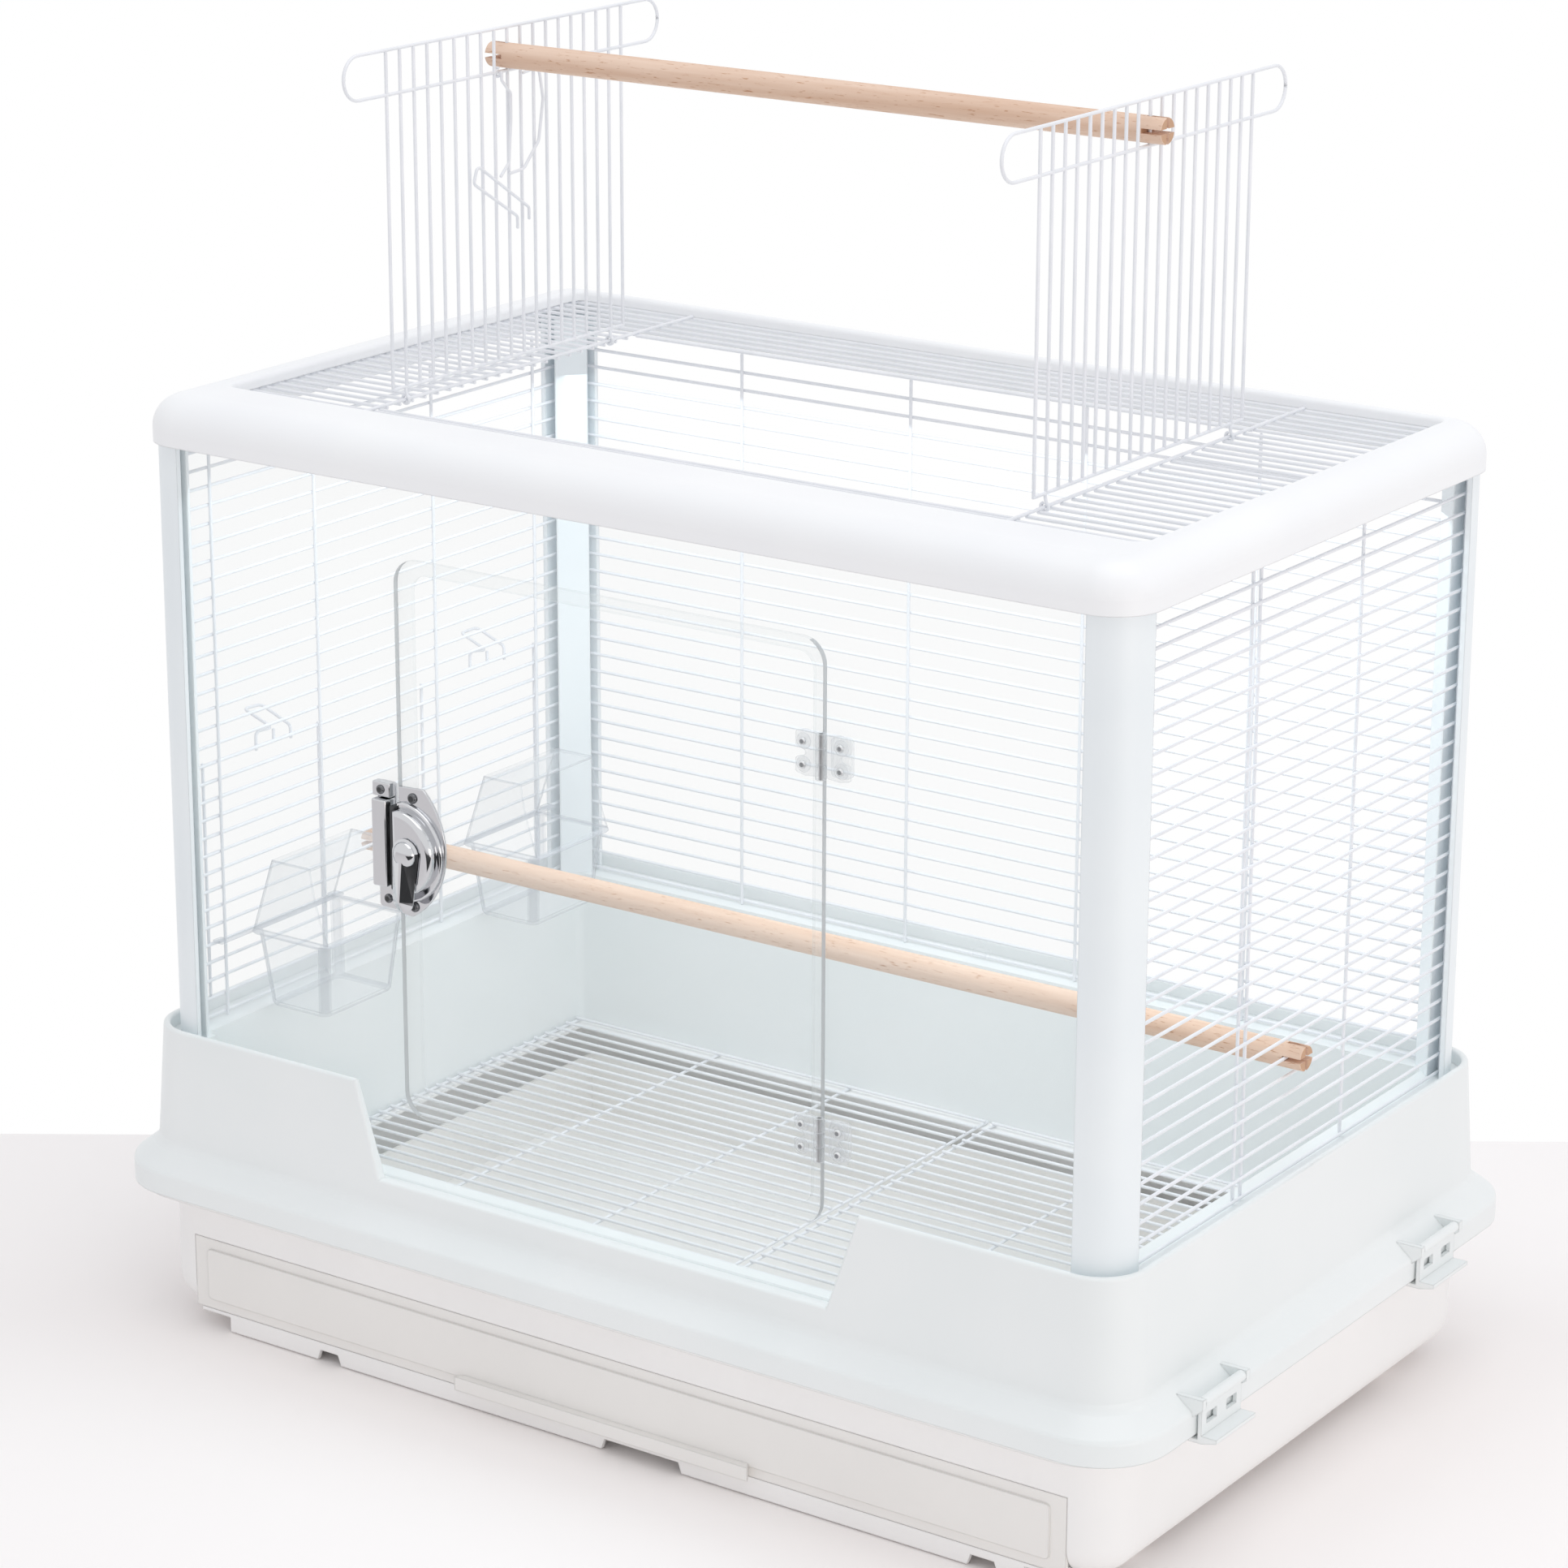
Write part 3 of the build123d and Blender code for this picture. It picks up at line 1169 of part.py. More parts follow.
def roof_door(side):
    door_x = side * ROOF_DOOR_X
    with BuildPart() as door:
        with Locations(Location((door_x, 0, pivot_z + (RAIL_HIGH + DOOR_BAR) / 2))):
            with GridLocations(1, ROOF_DOOR_PITCH, 1, ROOF_DOOR_WIRES):
                Box(WIRE, WIRE, upright_door_length)
        bar(WIRE, 2 * door_half + WIRE, WIRE, (door_x, 0, door_bar_z))
        with BuildSketch(Plane.YZ.offset(door_x - WIRE / 2)):
            with Locations((0, rail_middle)):
                SlotOverall(RAIL_LENGTH + WIRE, rail_height + WIRE)
                SlotOverall(RAIL_LENGTH - WIRE, rail_height - WIRE, mode=Mode.SUBTRACT)
        extrude(amount=WIRE)
        for eye_y in eye_places:
            stem_z = pivot_z + (DOOR_BAR + eye_radius) / 2
            bar(WIRE, EYE_LENGTH, DOOR_BAR - eye_radius, (door_x, eye_y, stem_z))
            with Locations(Location((door_x, eye_y, pivot_z), (90, 0, 0))):
                Cylinder(eye_radius + EYE_WALL, EYE_LENGTH)
                Cylinder(eye_radius, EYE_LENGTH, mode=Mode.SUBTRACT)
    return door.part


save(roof_door(-1), "roof_door_left")
save(roof_door(1), "roof_door_right")

# Hook: a bent wire that hangs on the left door's lower rail

rail_low_z = pivot_z + RAIL_LOW
hook_eye = WIRE * 0.5 ** 0.5 + PIN_CLEARANCE
hook_legs = (-ROOF_DOOR_PITCH / 2, 1.5 * ROOF_DOOR_PITCH)
hook_x = -ROOF_DOOR_X + hook_eye + HOOK_EYE_WALL / 2

with BuildPart() as roof_door_hook:
    with BuildLine() as hook_path:
        FilletPolyline(
            (hook_x, hook_legs[0], rail_low_z),
            (hook_x, hook_legs[0], rail_low_z - HOOK_LENGTH),
            (hook_x + HOOK_TIP, hook_legs[0], rail_low_z - HOOK_LENGTH - HOOK_DROP),
            (hook_x + HOOK_TIP, hook_legs[1], rail_low_z - HOOK_LENGTH - HOOK_DROP),
            (hook_x, hook_legs[1], rail_low_z - HOOK_LENGTH),
            (hook_x, hook_legs[1], rail_low_z),
            radius=HOOK_BEND,
        )
    with BuildSketch(Plane(origin=(hook_x, hook_legs[0], rail_low_z), z_dir=(0, 0, -1))):
        Circle(HOOK_WIRE_RADIUS)
    sweep(path=hook_path.wires()[0])
    for leg_y in hook_legs:
        with Locations(Location((-ROOF_DOOR_X, leg_y, rail_low_z), (90, 0, 0))):
            Cylinder(hook_eye + HOOK_EYE_WALL, HOOK_EYE_WALL)
            Cylinder(hook_eye, HOOK_EYE_WALL, mode=Mode.SUBTRACT)
save(roof_door_hook.part, "roof_door_hook")
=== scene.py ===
import bpy
import bmesh
import math
from mathutils import Matrix, Vector


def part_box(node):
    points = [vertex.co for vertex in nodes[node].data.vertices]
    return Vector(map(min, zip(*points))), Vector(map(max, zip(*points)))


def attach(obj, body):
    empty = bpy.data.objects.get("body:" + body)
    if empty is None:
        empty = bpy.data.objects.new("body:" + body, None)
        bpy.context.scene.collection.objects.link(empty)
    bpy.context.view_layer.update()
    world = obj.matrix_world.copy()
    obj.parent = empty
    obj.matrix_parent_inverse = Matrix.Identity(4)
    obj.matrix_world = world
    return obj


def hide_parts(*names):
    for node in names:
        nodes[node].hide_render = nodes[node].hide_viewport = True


# Bird cage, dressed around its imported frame. Sizes are written in millimetres.
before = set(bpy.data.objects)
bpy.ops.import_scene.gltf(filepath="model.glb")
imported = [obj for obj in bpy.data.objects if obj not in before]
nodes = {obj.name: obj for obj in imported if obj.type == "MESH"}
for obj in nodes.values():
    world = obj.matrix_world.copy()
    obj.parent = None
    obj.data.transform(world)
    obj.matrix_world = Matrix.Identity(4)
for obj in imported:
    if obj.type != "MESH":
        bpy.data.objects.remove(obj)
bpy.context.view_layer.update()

# Lower tub and its feet
# One shot of white high-impact polystyrene with a satin mould finish, as such
# tubs usually are. The feet are the same plastic, pressed into sockets below.

MM = 0.001


def linear(code):
    """An sRGB hex colour as the linear values that a shader takes."""
    values = [int(code[place:place + 2], 16) / 255 for place in (1, 3, 5)]
    bent = [v / 12.92 if v <= 0.04045 else ((v + 0.055) / 1.055) ** 2.4 for v in values]
    return (*bent, 1.0)


def add(tree, kind, settings=None, links=None):
    """Adds one node, sets its properties and sockets, and links its inputs."""
    made = tree.nodes.new(kind)
    for key, value in (settings or {}).items():
        if isinstance(key, str) and hasattr(made, key):
            setattr(made, key, value)
        else:
            made.inputs[key].default_value = value
    for key, source in (links or {}).items():
        tree.links.new(source, made.inputs[key])
    return made


def material(name):
    """A new material, with its tree and its Principled shader."""
    made = bpy.data.materials.new(name)
    made.use_nodes = True
    tree = made.node_tree
    return made, tree, tree.nodes["Principled BSDF"]


def moulded_plastic(name, colour, shade, roughness, ior, orange_peel):
    """Satin injection moulding: a faint cloudiness of tone, and a peel about 2 mm wide."""
    made, tree, skin = material(name)
    place = add(tree, "ShaderNodeTexCoord").outputs["Object"]
    cloud = add(tree, "ShaderNodeTexNoise", {"Scale": 9.0, "Detail": 2.0}, {"Vector": place})
    tone = add(tree, "ShaderNodeValToRGB", links={0: cloud.outputs["Fac"]})
    tone.color_ramp.elements[0].position = 0.35
    tone.color_ramp.elements[0].color = linear(shade)
    tone.color_ramp.elements[1].position = 0.65
    tone.color_ramp.elements[1].color = linear(colour)
    tree.links.new(tone.outputs["Color"], skin.inputs["Base Color"])
    rub = add(tree, "ShaderNodeTexNoise", {"Scale": 60.0, "Detail": 4.0}, {"Vector": place})
    dull = add(
        tree,
        "ShaderNodeMapRange",
        {"To Min": roughness - 0.06, "To Max": roughness + 0.08},
        {"Value": rub.outputs["Fac"]},
    )
    tree.links.new(dull.outputs["Result"], skin.inputs["Roughness"])
    # Mould edges are softened by about a millimetre
    soft_edge = add(tree, "ShaderNodeBevel", {"samples": 4, "Radius": 1.2 * MM})
    peel = add(tree, "ShaderNodeTexNoise", {"Scale": 500.0, "Detail": 1.0}, {"Vector": place})
    bump = add(
        tree,
        "ShaderNodeBump",
        {"Strength": orange_peel, "Distance": 0.1 * MM},
        {"Height": peel.outputs["Fac"], "Normal": soft_edge.outputs["Normal"]},
    )
    tree.links.new(bump.outputs["Normal"], skin.inputs["Normal"])
    skin.inputs["IOR"].default_value = ior
    return made


def finish_node(name, finish):
    """Gives a carried-over CAD node its real finish."""
    node = nodes[name]
    node.data.materials.clear()
    node.data.materials.append(finish)


tub_polystyrene = moulded_plastic("polystyrene_satin_white", "#F7F6F5", "#F4F3F2", 0.42, 1.59, 0.12)
finish_node("lower_tub", tub_polystyrene)
finish_node("tub_feet", tub_polystyrene)

# Drawer
# An open tray of the same white polystyrene, with a raised panel inside a
# narrow frame on its face and a low finger lip, pulled out to the front.

# Painted shade: the drawer takes a darker, warmer copy of the tub's white, for the shade on its front
drawer_polystyrene = moulded_plastic("polystyrene_satin_white_painted_shade", "#F0EEEB", "#EDEBE8", 0.44, 1.59, 0.12)
finish_node("drawer", drawer_polystyrene)

# Base collar
# The upper half of the base, white ABS with a smoother and slightly glossier
# skin, which stands on the tub's rim and is cut low at the front.

collar_abs = moulded_plastic("abs_semi_gloss_white", "#EFF2F2", "#ECF0F0", 0.34, 1.53, 0.1)
finish_node("base_collar", collar_abs)

# Base latches
# Four white ABS snap latches, which pivot on bars moulded into the collar
# and hook under the rim of the tub.

for latch in ("latch_left_front", "latch_left_rear", "latch_right_front", "latch_right_rear"):
    finish_node(latch, collar_abs)

# Floor grille
# Two sections of steel wire, spot welded and dipped in white epoxy, which lie
# on the ledge of the tub. Their long wires run from side to side.

WIRE_HALF = 1.1
WIRE_RADIUS = WIRE_HALF * MM
WIRE_SIDES = 3


def coated_wire(name, colour, worn):
    """Epoxy-dipped steel: nearly smooth, glossy, with slow waves where the dip ran."""
    made, tree, skin = material(name)
    place = add(tree, "ShaderNodeTexCoord").outputs["Object"]
    run = add(tree, "ShaderNodeTexNoise", {"Scale": 40.0, "Detail": 2.0}, {"Vector": place})
    tone = add(tree, "ShaderNodeValToRGB", links={0: run.outputs["Fac"]})
    tone.color_ramp.elements[0].position = 0.3
    tone.color_ramp.elements[0].color = linear(worn)
    tone.color_ramp.elements[1].position = 0.7
    tone.color_ramp.elements[1].color = linear(colour)
    tree.links.new(tone.outputs["Color"], skin.inputs["Base Color"])
    dip = add(tree, "ShaderNodeTexNoise", {"Scale": 260.0, "Detail": 1.0}, {"Vector": place})
    bump = add(tree, "ShaderNodeBump", {"Strength": 0.25, "Distance": 0.2 * MM},
               {"Height": dip.outputs["Fac"]})
    tree.links.new(bump.outputs["Normal"], skin.inputs["Normal"])
    skin.inputs["Roughness"].default_value = 0.3
    skin.inputs["IOR"].default_value = 1.55
    return made


def rounded_route(corners, radius, closed=False):
    """Points along a bent wire: straight runs joined by arcs of the given radius."""
    points = [Vector(corner) for corner in corners]
    count = len(points)
    route = []
    for index, corner in enumerate(points):
        if not closed and index in (0, count - 1):
            route.append(corner)
            continue
        before = (points[index - 1] - corner).normalized()
        after = (points[(index + 1) % count] - corner).normalized()
        turn = before.angle(after)
        if turn > math.radians(175):
            route.append(corner)
            continue
        reach = radius / math.tan(turn / 2)
        middle = corner + (before + after).normalized() * radius / math.sin(turn / 2)
        start = corner + before * reach - middle
        end = corner + after * reach - middle
        for step in range(9):
            route.append(middle + start.slerp(end, step / 8).normalized() * radius)
    return route


def wire_piece(name, body, finish, routes, stands_for, radius=WIRE_RADIUS):
    """One welded wire piece. Each route is (points in mm, closed), with domed open ends."""
    curve = bpy.data.curves.new(name, "CURVE")
    curve.dimensions = "3D"
    curve.bevel_depth = radius
    curve.bevel_resolution = WIRE_SIDES
    curve.use_fill_caps = True
    for points, closed in routes:
        line = [Vector(point) * MM for point in points]
        widths = [1.0] * len(line)
        if not closed:
            for end, inward in ((0, 1), (-1, -2)):
                ahead = (line[end] - line[inward]).normalized()
                tip = line[end]
                dome = [(0.0, 0.5), (0.13, 0.75), (0.35, 0.93), (0.8, 1.0)]
                shaped = [(tip - ahead * radius * depth, width) for depth, width in dome]
                if end == 0:
                    line = [spot for spot, width in shaped] + line[1:]
                    widths = [width for spot, width in shaped] + widths[1:]
                else:
                    line = line[:-1] + [spot for spot, width in reversed(shaped)]
                    widths = widths[:-1] + [width for spot, width in reversed(shaped)]
        spline = curve.splines.new("POLY")
        spline.points.add(len(line) - 1)
        for point, spot, width in zip(spline.points, line, widths):
            point.co = (*spot, 1.0)
            point.radius = width
        spline.use_cyclic_u = closed
        spline.use_smooth = True
    curve.materials.append(finish)
    piece = bpy.data.objects.new(name, curve)
    bpy.context.scene.collection.objects.link(piece)
    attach(piece, body)
    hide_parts(*stands_for)
    return piece


def span(node):
    """The lowest and highest corner of a CAD node, in millimetres."""
    low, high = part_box(node)
    return low / MM, high / MM


white_epoxy = coated_wire("epoxy_coat_white", "#EFF0F4", "#E8EAEE")
GRILLE_PITCH = 12.4
CROSS_PITCH = 112.0
for side in ("left", "right"):
    low, high = span("floor_grille_" + side)
    wire_z = high.z - WIRE_HALF
    bar_z = low.z + WIRE_HALF
    half = math.floor(2 * (high.y - WIRE_HALF) / GRILLE_PITCH) * GRILLE_PITCH / 2
    routes = []
    y = -half
    while y <= half + 0.01:
        routes.append(([(low.x, y, wire_z), (high.x, y, wire_z)], False))
        y += GRILLE_PITCH
    seam = high.x - WIRE_HALF if side == "left" else low.x + WIRE_HALF
    outer = low.x + WIRE_HALF if side == "left" else high.x - WIRE_HALF
    step = -CROSS_PITCH if side == "left" else CROSS_PITCH
    for x in (seam, seam + step, seam + 2 * step, outer):
        routes.append(([(x, low.y, bar_z), (x, high.y, bar_z)], False))
    wire_piece("floor_grille_wires_" + side, "grille_" + side, white_epoxy, routes,
               ["floor_grille_" + side])

# Corner posts
# Four extruded posts of cool white PVC, rounded on the outside, with a slot
# for each panel. They stand in the channel of the collar.

post_pvc = moulded_plastic("pvc_extruded_cool_white", "#F0F5F7", "#EBF1F4", 0.36, 1.53, 0.06)
for post in ("post_front_left", "post_front_right", "post_rear_left", "post_rear_right"):
    finish_node(post, post_pvc)

# Side and back wire panels
# Level wires 12.2 mm apart outside a few uprights, spot welded and dipped in
# white epoxy. The ends of the level wires sit in the slots of the posts.

LEVEL_PITCH = 12.2
LEVEL_COUNT = 32
LEVEL_FIRST = 198.8
level_heights = [LEVEL_FIRST + LEVEL_PITCH * k for k in range(LEVEL_COUNT)]
WELD = 1.9
RIGHT_UPRIGHTS = (-200, -66, -57, 66.5, 200)
BACK_UPRIGHTS = (-335, -201, -64, 72, 200, 335)
LEFT_UPRIGHTS = (-200, 200, -165.8, -65.2, 57.2, 167.8)
LEFT_CUTS = (-165.5, -65.5, 57.5, 167.5)

low, high = span("right_wire_panel")
routes = [([(high.x - WIRE_HALF, low.y, z), (high.x - WIRE_HALF, high.y, z)], False) for z in level_heights]
for y in RIGHT_UPRIGHTS:
    routes.append(([(high.x - WIRE_HALF - WELD, y, low.z), (high.x - WIRE_HALF - WELD, y, high.z)], False))
wire_piece("right_panel_wires", "base", white_epoxy, routes, ["right_wire_panel"])

low, high = span("back_wire_panel")
routes = [([(low.x, high.y - WIRE_HALF, z), (high.x, high.y - WIRE_HALF, z)], False) for z in level_heights]
for x in BACK_UPRIGHTS:
    routes.append(([(x, high.y - WIRE_HALF - WELD, low.z), (x, high.y - WIRE_HALF - WELD, high.z)], False))
wire_piece("back_panel_wires", "base", white_epoxy, routes, ["back_wire_panel"])

FEEDER_OPENINGS = ((-165, -66), (58, 167))
OPENING_BOTTOM = 209
OPENING_TOP = 311
low, high = span("left_wire_panel")
panel_x = low.x + WIRE_HALF
routes = []
for z in level_heights:
    if OPENING_BOTTOM < z < OPENING_TOP:
        cuts = [low.y, *LEFT_CUTS, high.y]
        for start, end in zip(cuts[0::2], cuts[1::2]):
            routes.append(([(panel_x, start, z), (panel_x, end, z)], False))
    else:
        routes.append(([(panel_x, low.y, z), (panel_x, high.y, z)], False))
for y in LEFT_UPRIGHTS:
    routes.append(([(panel_x + WELD, y, low.z), (panel_x + WELD, y, high.z)], False))
wire_piece("left_panel_wires", "base", white_epoxy, routes, ["left_wire_panel"])

# Clip on the back panel
# A small clear clip of styrene that holds the lowest wire of the back panel.


def clear_plastic(name, tint, facing, grazing, roughness, ior):
    """Clear plastic: a thin veil face on, denser at a glancing angle, with faint flow lines."""
    made, tree, skin = material(name)
    place = add(tree, "ShaderNodeTexCoord").outputs["Object"]
    flow = add(tree, "ShaderNodeTexNoise", {"Scale": 14.0, "Detail": 2.0}, {"Vector": place})
    bump = add(tree, "ShaderNodeBump", {"Strength": 0.05, "Distance": 0.3 * MM},
               {"Height": flow.outputs["Fac"]})
    tree.links.new(bump.outputs["Normal"], skin.inputs["Normal"])
    angle = add(tree, "ShaderNodeLayerWeight", {"Blend": 0.4})
    veil = add(
        tree,
        "ShaderNodeMapRange",
        {"To Min": facing, "To Max": grazing},
        {"Value": angle.outputs["Facing"]},
    )
    tree.links.new(veil.outputs["Result"], skin.inputs["Alpha"])
    skin.inputs["Base Color"].default_value = linear(tint)
    skin.inputs["Roughness"].default_value = roughness
    skin.inputs["IOR"].default_value = ior
    return made


crystal_styrene = clear_plastic("styrene_crystal_clear", "#F2F5F8", 0.02, 0.2, 0.06, 1.59)
finish_node("panel_clip", crystal_styrene)

# Feeder doors
# Small welded wire doors outside the left panel, which slide up to reach the
# cups. Each has a wire pull bent into a flat loop.

PULLS = {
    "front": [(-124.5, 366), (-124.5, 379), (-108.5, 378), (-107.0, 386), (-90.0, 385), (-90.0, 375),
              (-90.0, 366)],
    "rear": [(99.5, 367), (99.5, 381), (117.0, 378), (121.5, 385), (139.0, 385), (137.5, 376),
             (137.5, 366)],
}
PULL_OUT = (0, 0, 0, -25, -25, 0, 0)
PULL_BEND = 3.5
STRUT_FOOT = 368
GATE_X = -352.0
GATE_BOTTOM = 205
GATE_TOP = 372
for place in ("front", "rear"):
    name = "feeder_door_" + place
    low, high = span(name)
    side_x = GATE_X - WELD
    heights = [z for z in level_heights if GATE_BOTTOM < z < GATE_TOP]
    routes = [([(GATE_X, low.y, z), (GATE_X, high.y, z)], False) for z in heights]
    for y in (low.y + WIRE_HALF, high.y - WIRE_HALF):
        routes.append(([(side_x, y, heights[0] - WIRE_HALF), (side_x, y, heights[-1] + WIRE_HALF)], False))
    pull = [(side_x + out, y, z) for out, (y, z) in zip(PULL_OUT, PULLS[place])]
    routes.append((rounded_route(pull, PULL_BEND), False))
    strut_y = PULLS[place][2][0] + 1.5
    routes.append(([(side_x, strut_y, PULLS[place][2][1] - 1), (side_x, strut_y, STRUT_FOOT)], False))
    wire_piece("feeder_door_wires_" + place, "feeder_gate_" + place, white_epoxy,
               routes, [name])

# Feeder cups and hoods
# Cups and hoods of crystal-clear polystyrene that hang on the left panel,
# thin-walled, with rounded rims that catch the light.


def mesh_piece(name, body, finishes, mesh, stands_for):
    """One modelled piece on a body, which stands for CAD nodes."""
    mesh.name = name
    for finish in finishes:
        mesh.materials.append(finish)
    piece = bpy.data.objects.new(name, mesh)
    bpy.context.scene.collection.objects.link(piece)
    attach(piece, body)
    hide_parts(*stands_for)
    return piece


def plate(outlines, front_y, back_y, soft):
    """A sheet cut to closed outlines in x and z, from front_y to back_y, with rounded edges."""
    curve = bpy.data.curves.new("plate", "CURVE")
    curve.dimensions = "2D"
    curve.fill_mode = "BOTH"
    curve.extrude = ((back_y - front_y) / 2 - soft) * MM
    curve.bevel_depth = soft * MM
    curve.bevel_resolution = 2
    curve.offset = -soft * MM
    for edge in outlines:
        spline = curve.splines.new("POLY")
        spline.points.add(len(edge) - 1)
        for point, (x, z) in zip(spline.points, edge):
            point.co = (x * MM, z * MM, 0.0, 1.0)
        spline.use_cyclic_u = True
    holder = bpy.data.objects.new("plate", curve)
    mesh = bpy.data.meshes.new_from_object(holder)
    bpy.data.objects.remove(holder)
    middle = (front_y + back_y) / 2 * MM
    mesh.transform(Matrix.Translation((0, middle, 0)) @ Matrix.Rotation(math.pi / 2, 4, "X"))
    for face in mesh.polygons:
        face.use_smooth = abs(face.normal.y) < 0.99
    return mesh


def outline(corners, radius):
    """A closed outline in x and z with its corners rounded."""
    route = rounded_route([(x, 0, z) for x, z in corners], radius, closed=True)
    return [(point.x, point.z) for point in route]


AXIS_ALIGNED = 0.999


def shell_mesh(rings):
    """A closed skin through rings of equal count, capped at both ends."""
    count = len(rings[0])
    spots = [Vector(point) * MM for ring in rings for point in ring]
    faces = [
        (k * count + i, k * count + (i + 1) % count, (k + 1) * count + (i + 1) % count, (k + 1) * count + i)
        for k in range(len(rings) - 1)
        for i in range(count)
    ]
    faces.append(tuple(range(count)))
    faces.append(tuple(range((len(rings) - 1) * count, len(rings) * count)))
    mesh = bpy.data.meshes.new("shell")
    mesh.from_pydata(spots, [], faces)
    skin = bmesh.new()
    skin.from_mesh(mesh)
    bmesh.ops.recalc_face_normals(skin, faces=skin.faces)
    skin.to_mesh(mesh)
    skin.free()
    for face in mesh.polygons:
        face.use_smooth = max(abs(axis) for axis in face.normal) < AXIS_ALIGNED
    return mesh


def block(low, high, soft):
    """A moulded block between two corners, with rounded edges."""
    skin = bmesh.new()
    bmesh.ops.create_cube(skin, size=1.0)
    low, high = Vector(low), Vector(high)
    bmesh.ops.scale(skin, vec=(high - low) * MM, verts=skin.verts)
    bmesh.ops.translate(skin, vec=(high + low) / 2 * MM, verts=skin.verts)
    bmesh.ops.bevel(skin, geom=skin.edges[:], offset=soft * MM, segments=3, profile=0.5, affect="EDGES")
    mesh = bpy.data.meshes.new("block")
    skin.to_mesh(mesh)
    skin.free()
    for face in mesh.polygons:
        face.use_smooth = max(abs(axis) for axis in face.normal) < AXIS_ALIGNED
    return mesh


def joined(meshes):
    """Several meshes as one, each already in its place."""
    skin = bmesh.new()
    for mesh in meshes:
        skin.from_mesh(mesh)
        bpy.data.meshes.remove(mesh)
    whole = bpy.data.meshes.new("joined")
    skin.to_mesh(whole)
    skin.free()
    return whole


def box_ring(middle, half, radius, z):
    """A rounded rectangle at height z, as the points of one ring."""
    corners = [
        (middle[0] + sign_x * half[0], middle[1] + sign_y * half[1], z)
        for sign_x, sign_y in ((-1, -1), (1, -1), (1, 1), (-1, 1))
    ]
    return [tuple(point) for point in rounded_route(corners, radius, closed=True)]


def edged(mesh, widest):
    """Gives the narrow faces of a clear moulding, its rims and corners, material slot 1."""
    for face in mesh.polygons:
        spots = [mesh.vertices[index].co for index in face.vertices]
        lengths = [(spots[k] - spots[k - 1]).length for k in range(len(spots))]
        if max(min(lengths), face.area / max(lengths)) < widest * MM:
            face.material_index = 1
    return mesh


# Rims and corners gather light and read as pale grey lines
styrene_edge = clear_plastic("styrene_clear_rim", "#CBCFD6", 0.24, 0.55, 0.06, 1.59)
CUP_MIDDLES = {"front": -104.0, "rear": 118.0}
CUP_BACK = -346.2
CUP_HOOK = -350.6
CUP_TAB = 12
CUP_LIP = 2
CUP_REACH = 68.0
CUP_TOP = 251.0
CUP_FLOOR = 197.0
HOOD_HALF = 41.0
HOOD_WALL = 1.8
RIM_WIDTH = 5.5
for place, (near, far) in zip(("front", "rear"), FEEDER_OPENINGS):
    middle = (CUP_BACK + CUP_REACH / 2, CUP_MIDDLES[place])
    cup_rings = [
        box_ring(middle, (21.0, 32.0), 3.5, CUP_FLOOR),
        box_ring(middle, (23.2, 34.2), 5.5, CUP_FLOOR + 0.8),
        box_ring(middle, (24.4, 35.4), 6.0, CUP_FLOOR + 3.0),
        box_ring(middle, (29.6, 40.6), 6.0, CUP_TOP - 2.0),
        box_ring(middle, (33.4, 44.4), 9.4, CUP_TOP - 2.0),
        box_ring(middle, (34.0, 45.0), 10.0, CUP_TOP - 1.4),
        box_ring(middle, (34.0, 45.0), 10.0, CUP_TOP - 0.6),
        box_ring(middle, (33.4, 44.4), 9.4, CUP_TOP),
        box_ring(middle, (28.6, 39.6), 4.6, CUP_TOP),
        box_ring(middle, (28.0, 39.0), 4.0, CUP_TOP - 0.6),
        box_ring(middle, (23.0, 34.0), 4.0, CUP_FLOOR + 4.0),
        box_ring(middle, (21.0, 32.0), 3.0, CUP_FLOOR + 2.0),
    ]
    cup_parts = [
        shell_mesh(cup_rings),
        block((CUP_BACK, near - CUP_TAB, CUP_TOP - CUP_LIP), (CUP_BACK + 4, far + CUP_TAB, CUP_TOP), 0.6),
        block((CUP_HOOK, near - CUP_TAB, CUP_TOP - CUP_LIP), (CUP_BACK + 1, near - 4, CUP_TOP), 0.6),
        block((CUP_HOOK, far + 4, CUP_TOP - CUP_LIP), (CUP_BACK + 1, far + CUP_TAB, CUP_TOP), 0.6),
    ]
    mesh_piece("feeder_cup_shell_" + place, "cup_" + place,
               [crystal_styrene, styrene_edge],
               edged(joined(cup_parts), RIM_WIDTH), ["feeder_cup_" + place])
    cheek = [(-343.5, 251.0), (-326.0, 301.5), (-294.0, 301.5), (-292.6, 292.0), (-290.0, 280.0),
             (-286.5, 268.0), (-280.5, 251.0)]
    slope = [(-343.8, 251.2), (-326.4, 301.6), (-293.4, 301.6), (-293.4, 299.8), (-325.1, 299.8),
             (-342.0, 251.2)]
    hood_parts = [
        plate([cheek], middle[1] - HOOD_HALF, middle[1] - HOOD_HALF + HOOD_WALL, 0.5),
        plate([cheek], middle[1] + HOOD_HALF - HOOD_WALL, middle[1] + HOOD_HALF, 0.5),
        plate([slope], middle[1] - HOOD_HALF + HOOD_WALL / 2, middle[1] + HOOD_HALF - HOOD_WALL / 2, 0.5),
    ]
    mesh_piece("feeder_hood_shell_" + place, "cup_" + place,
               [crystal_styrene, styrene_edge],
               edged(joined(hood_parts), RIM_WIDTH), ["feeder_hood_" + place])

# Perches
# Turned rods of pale beech, 16 mm thick and left bare, with a cross sawn in
# each end that straddles the wires.


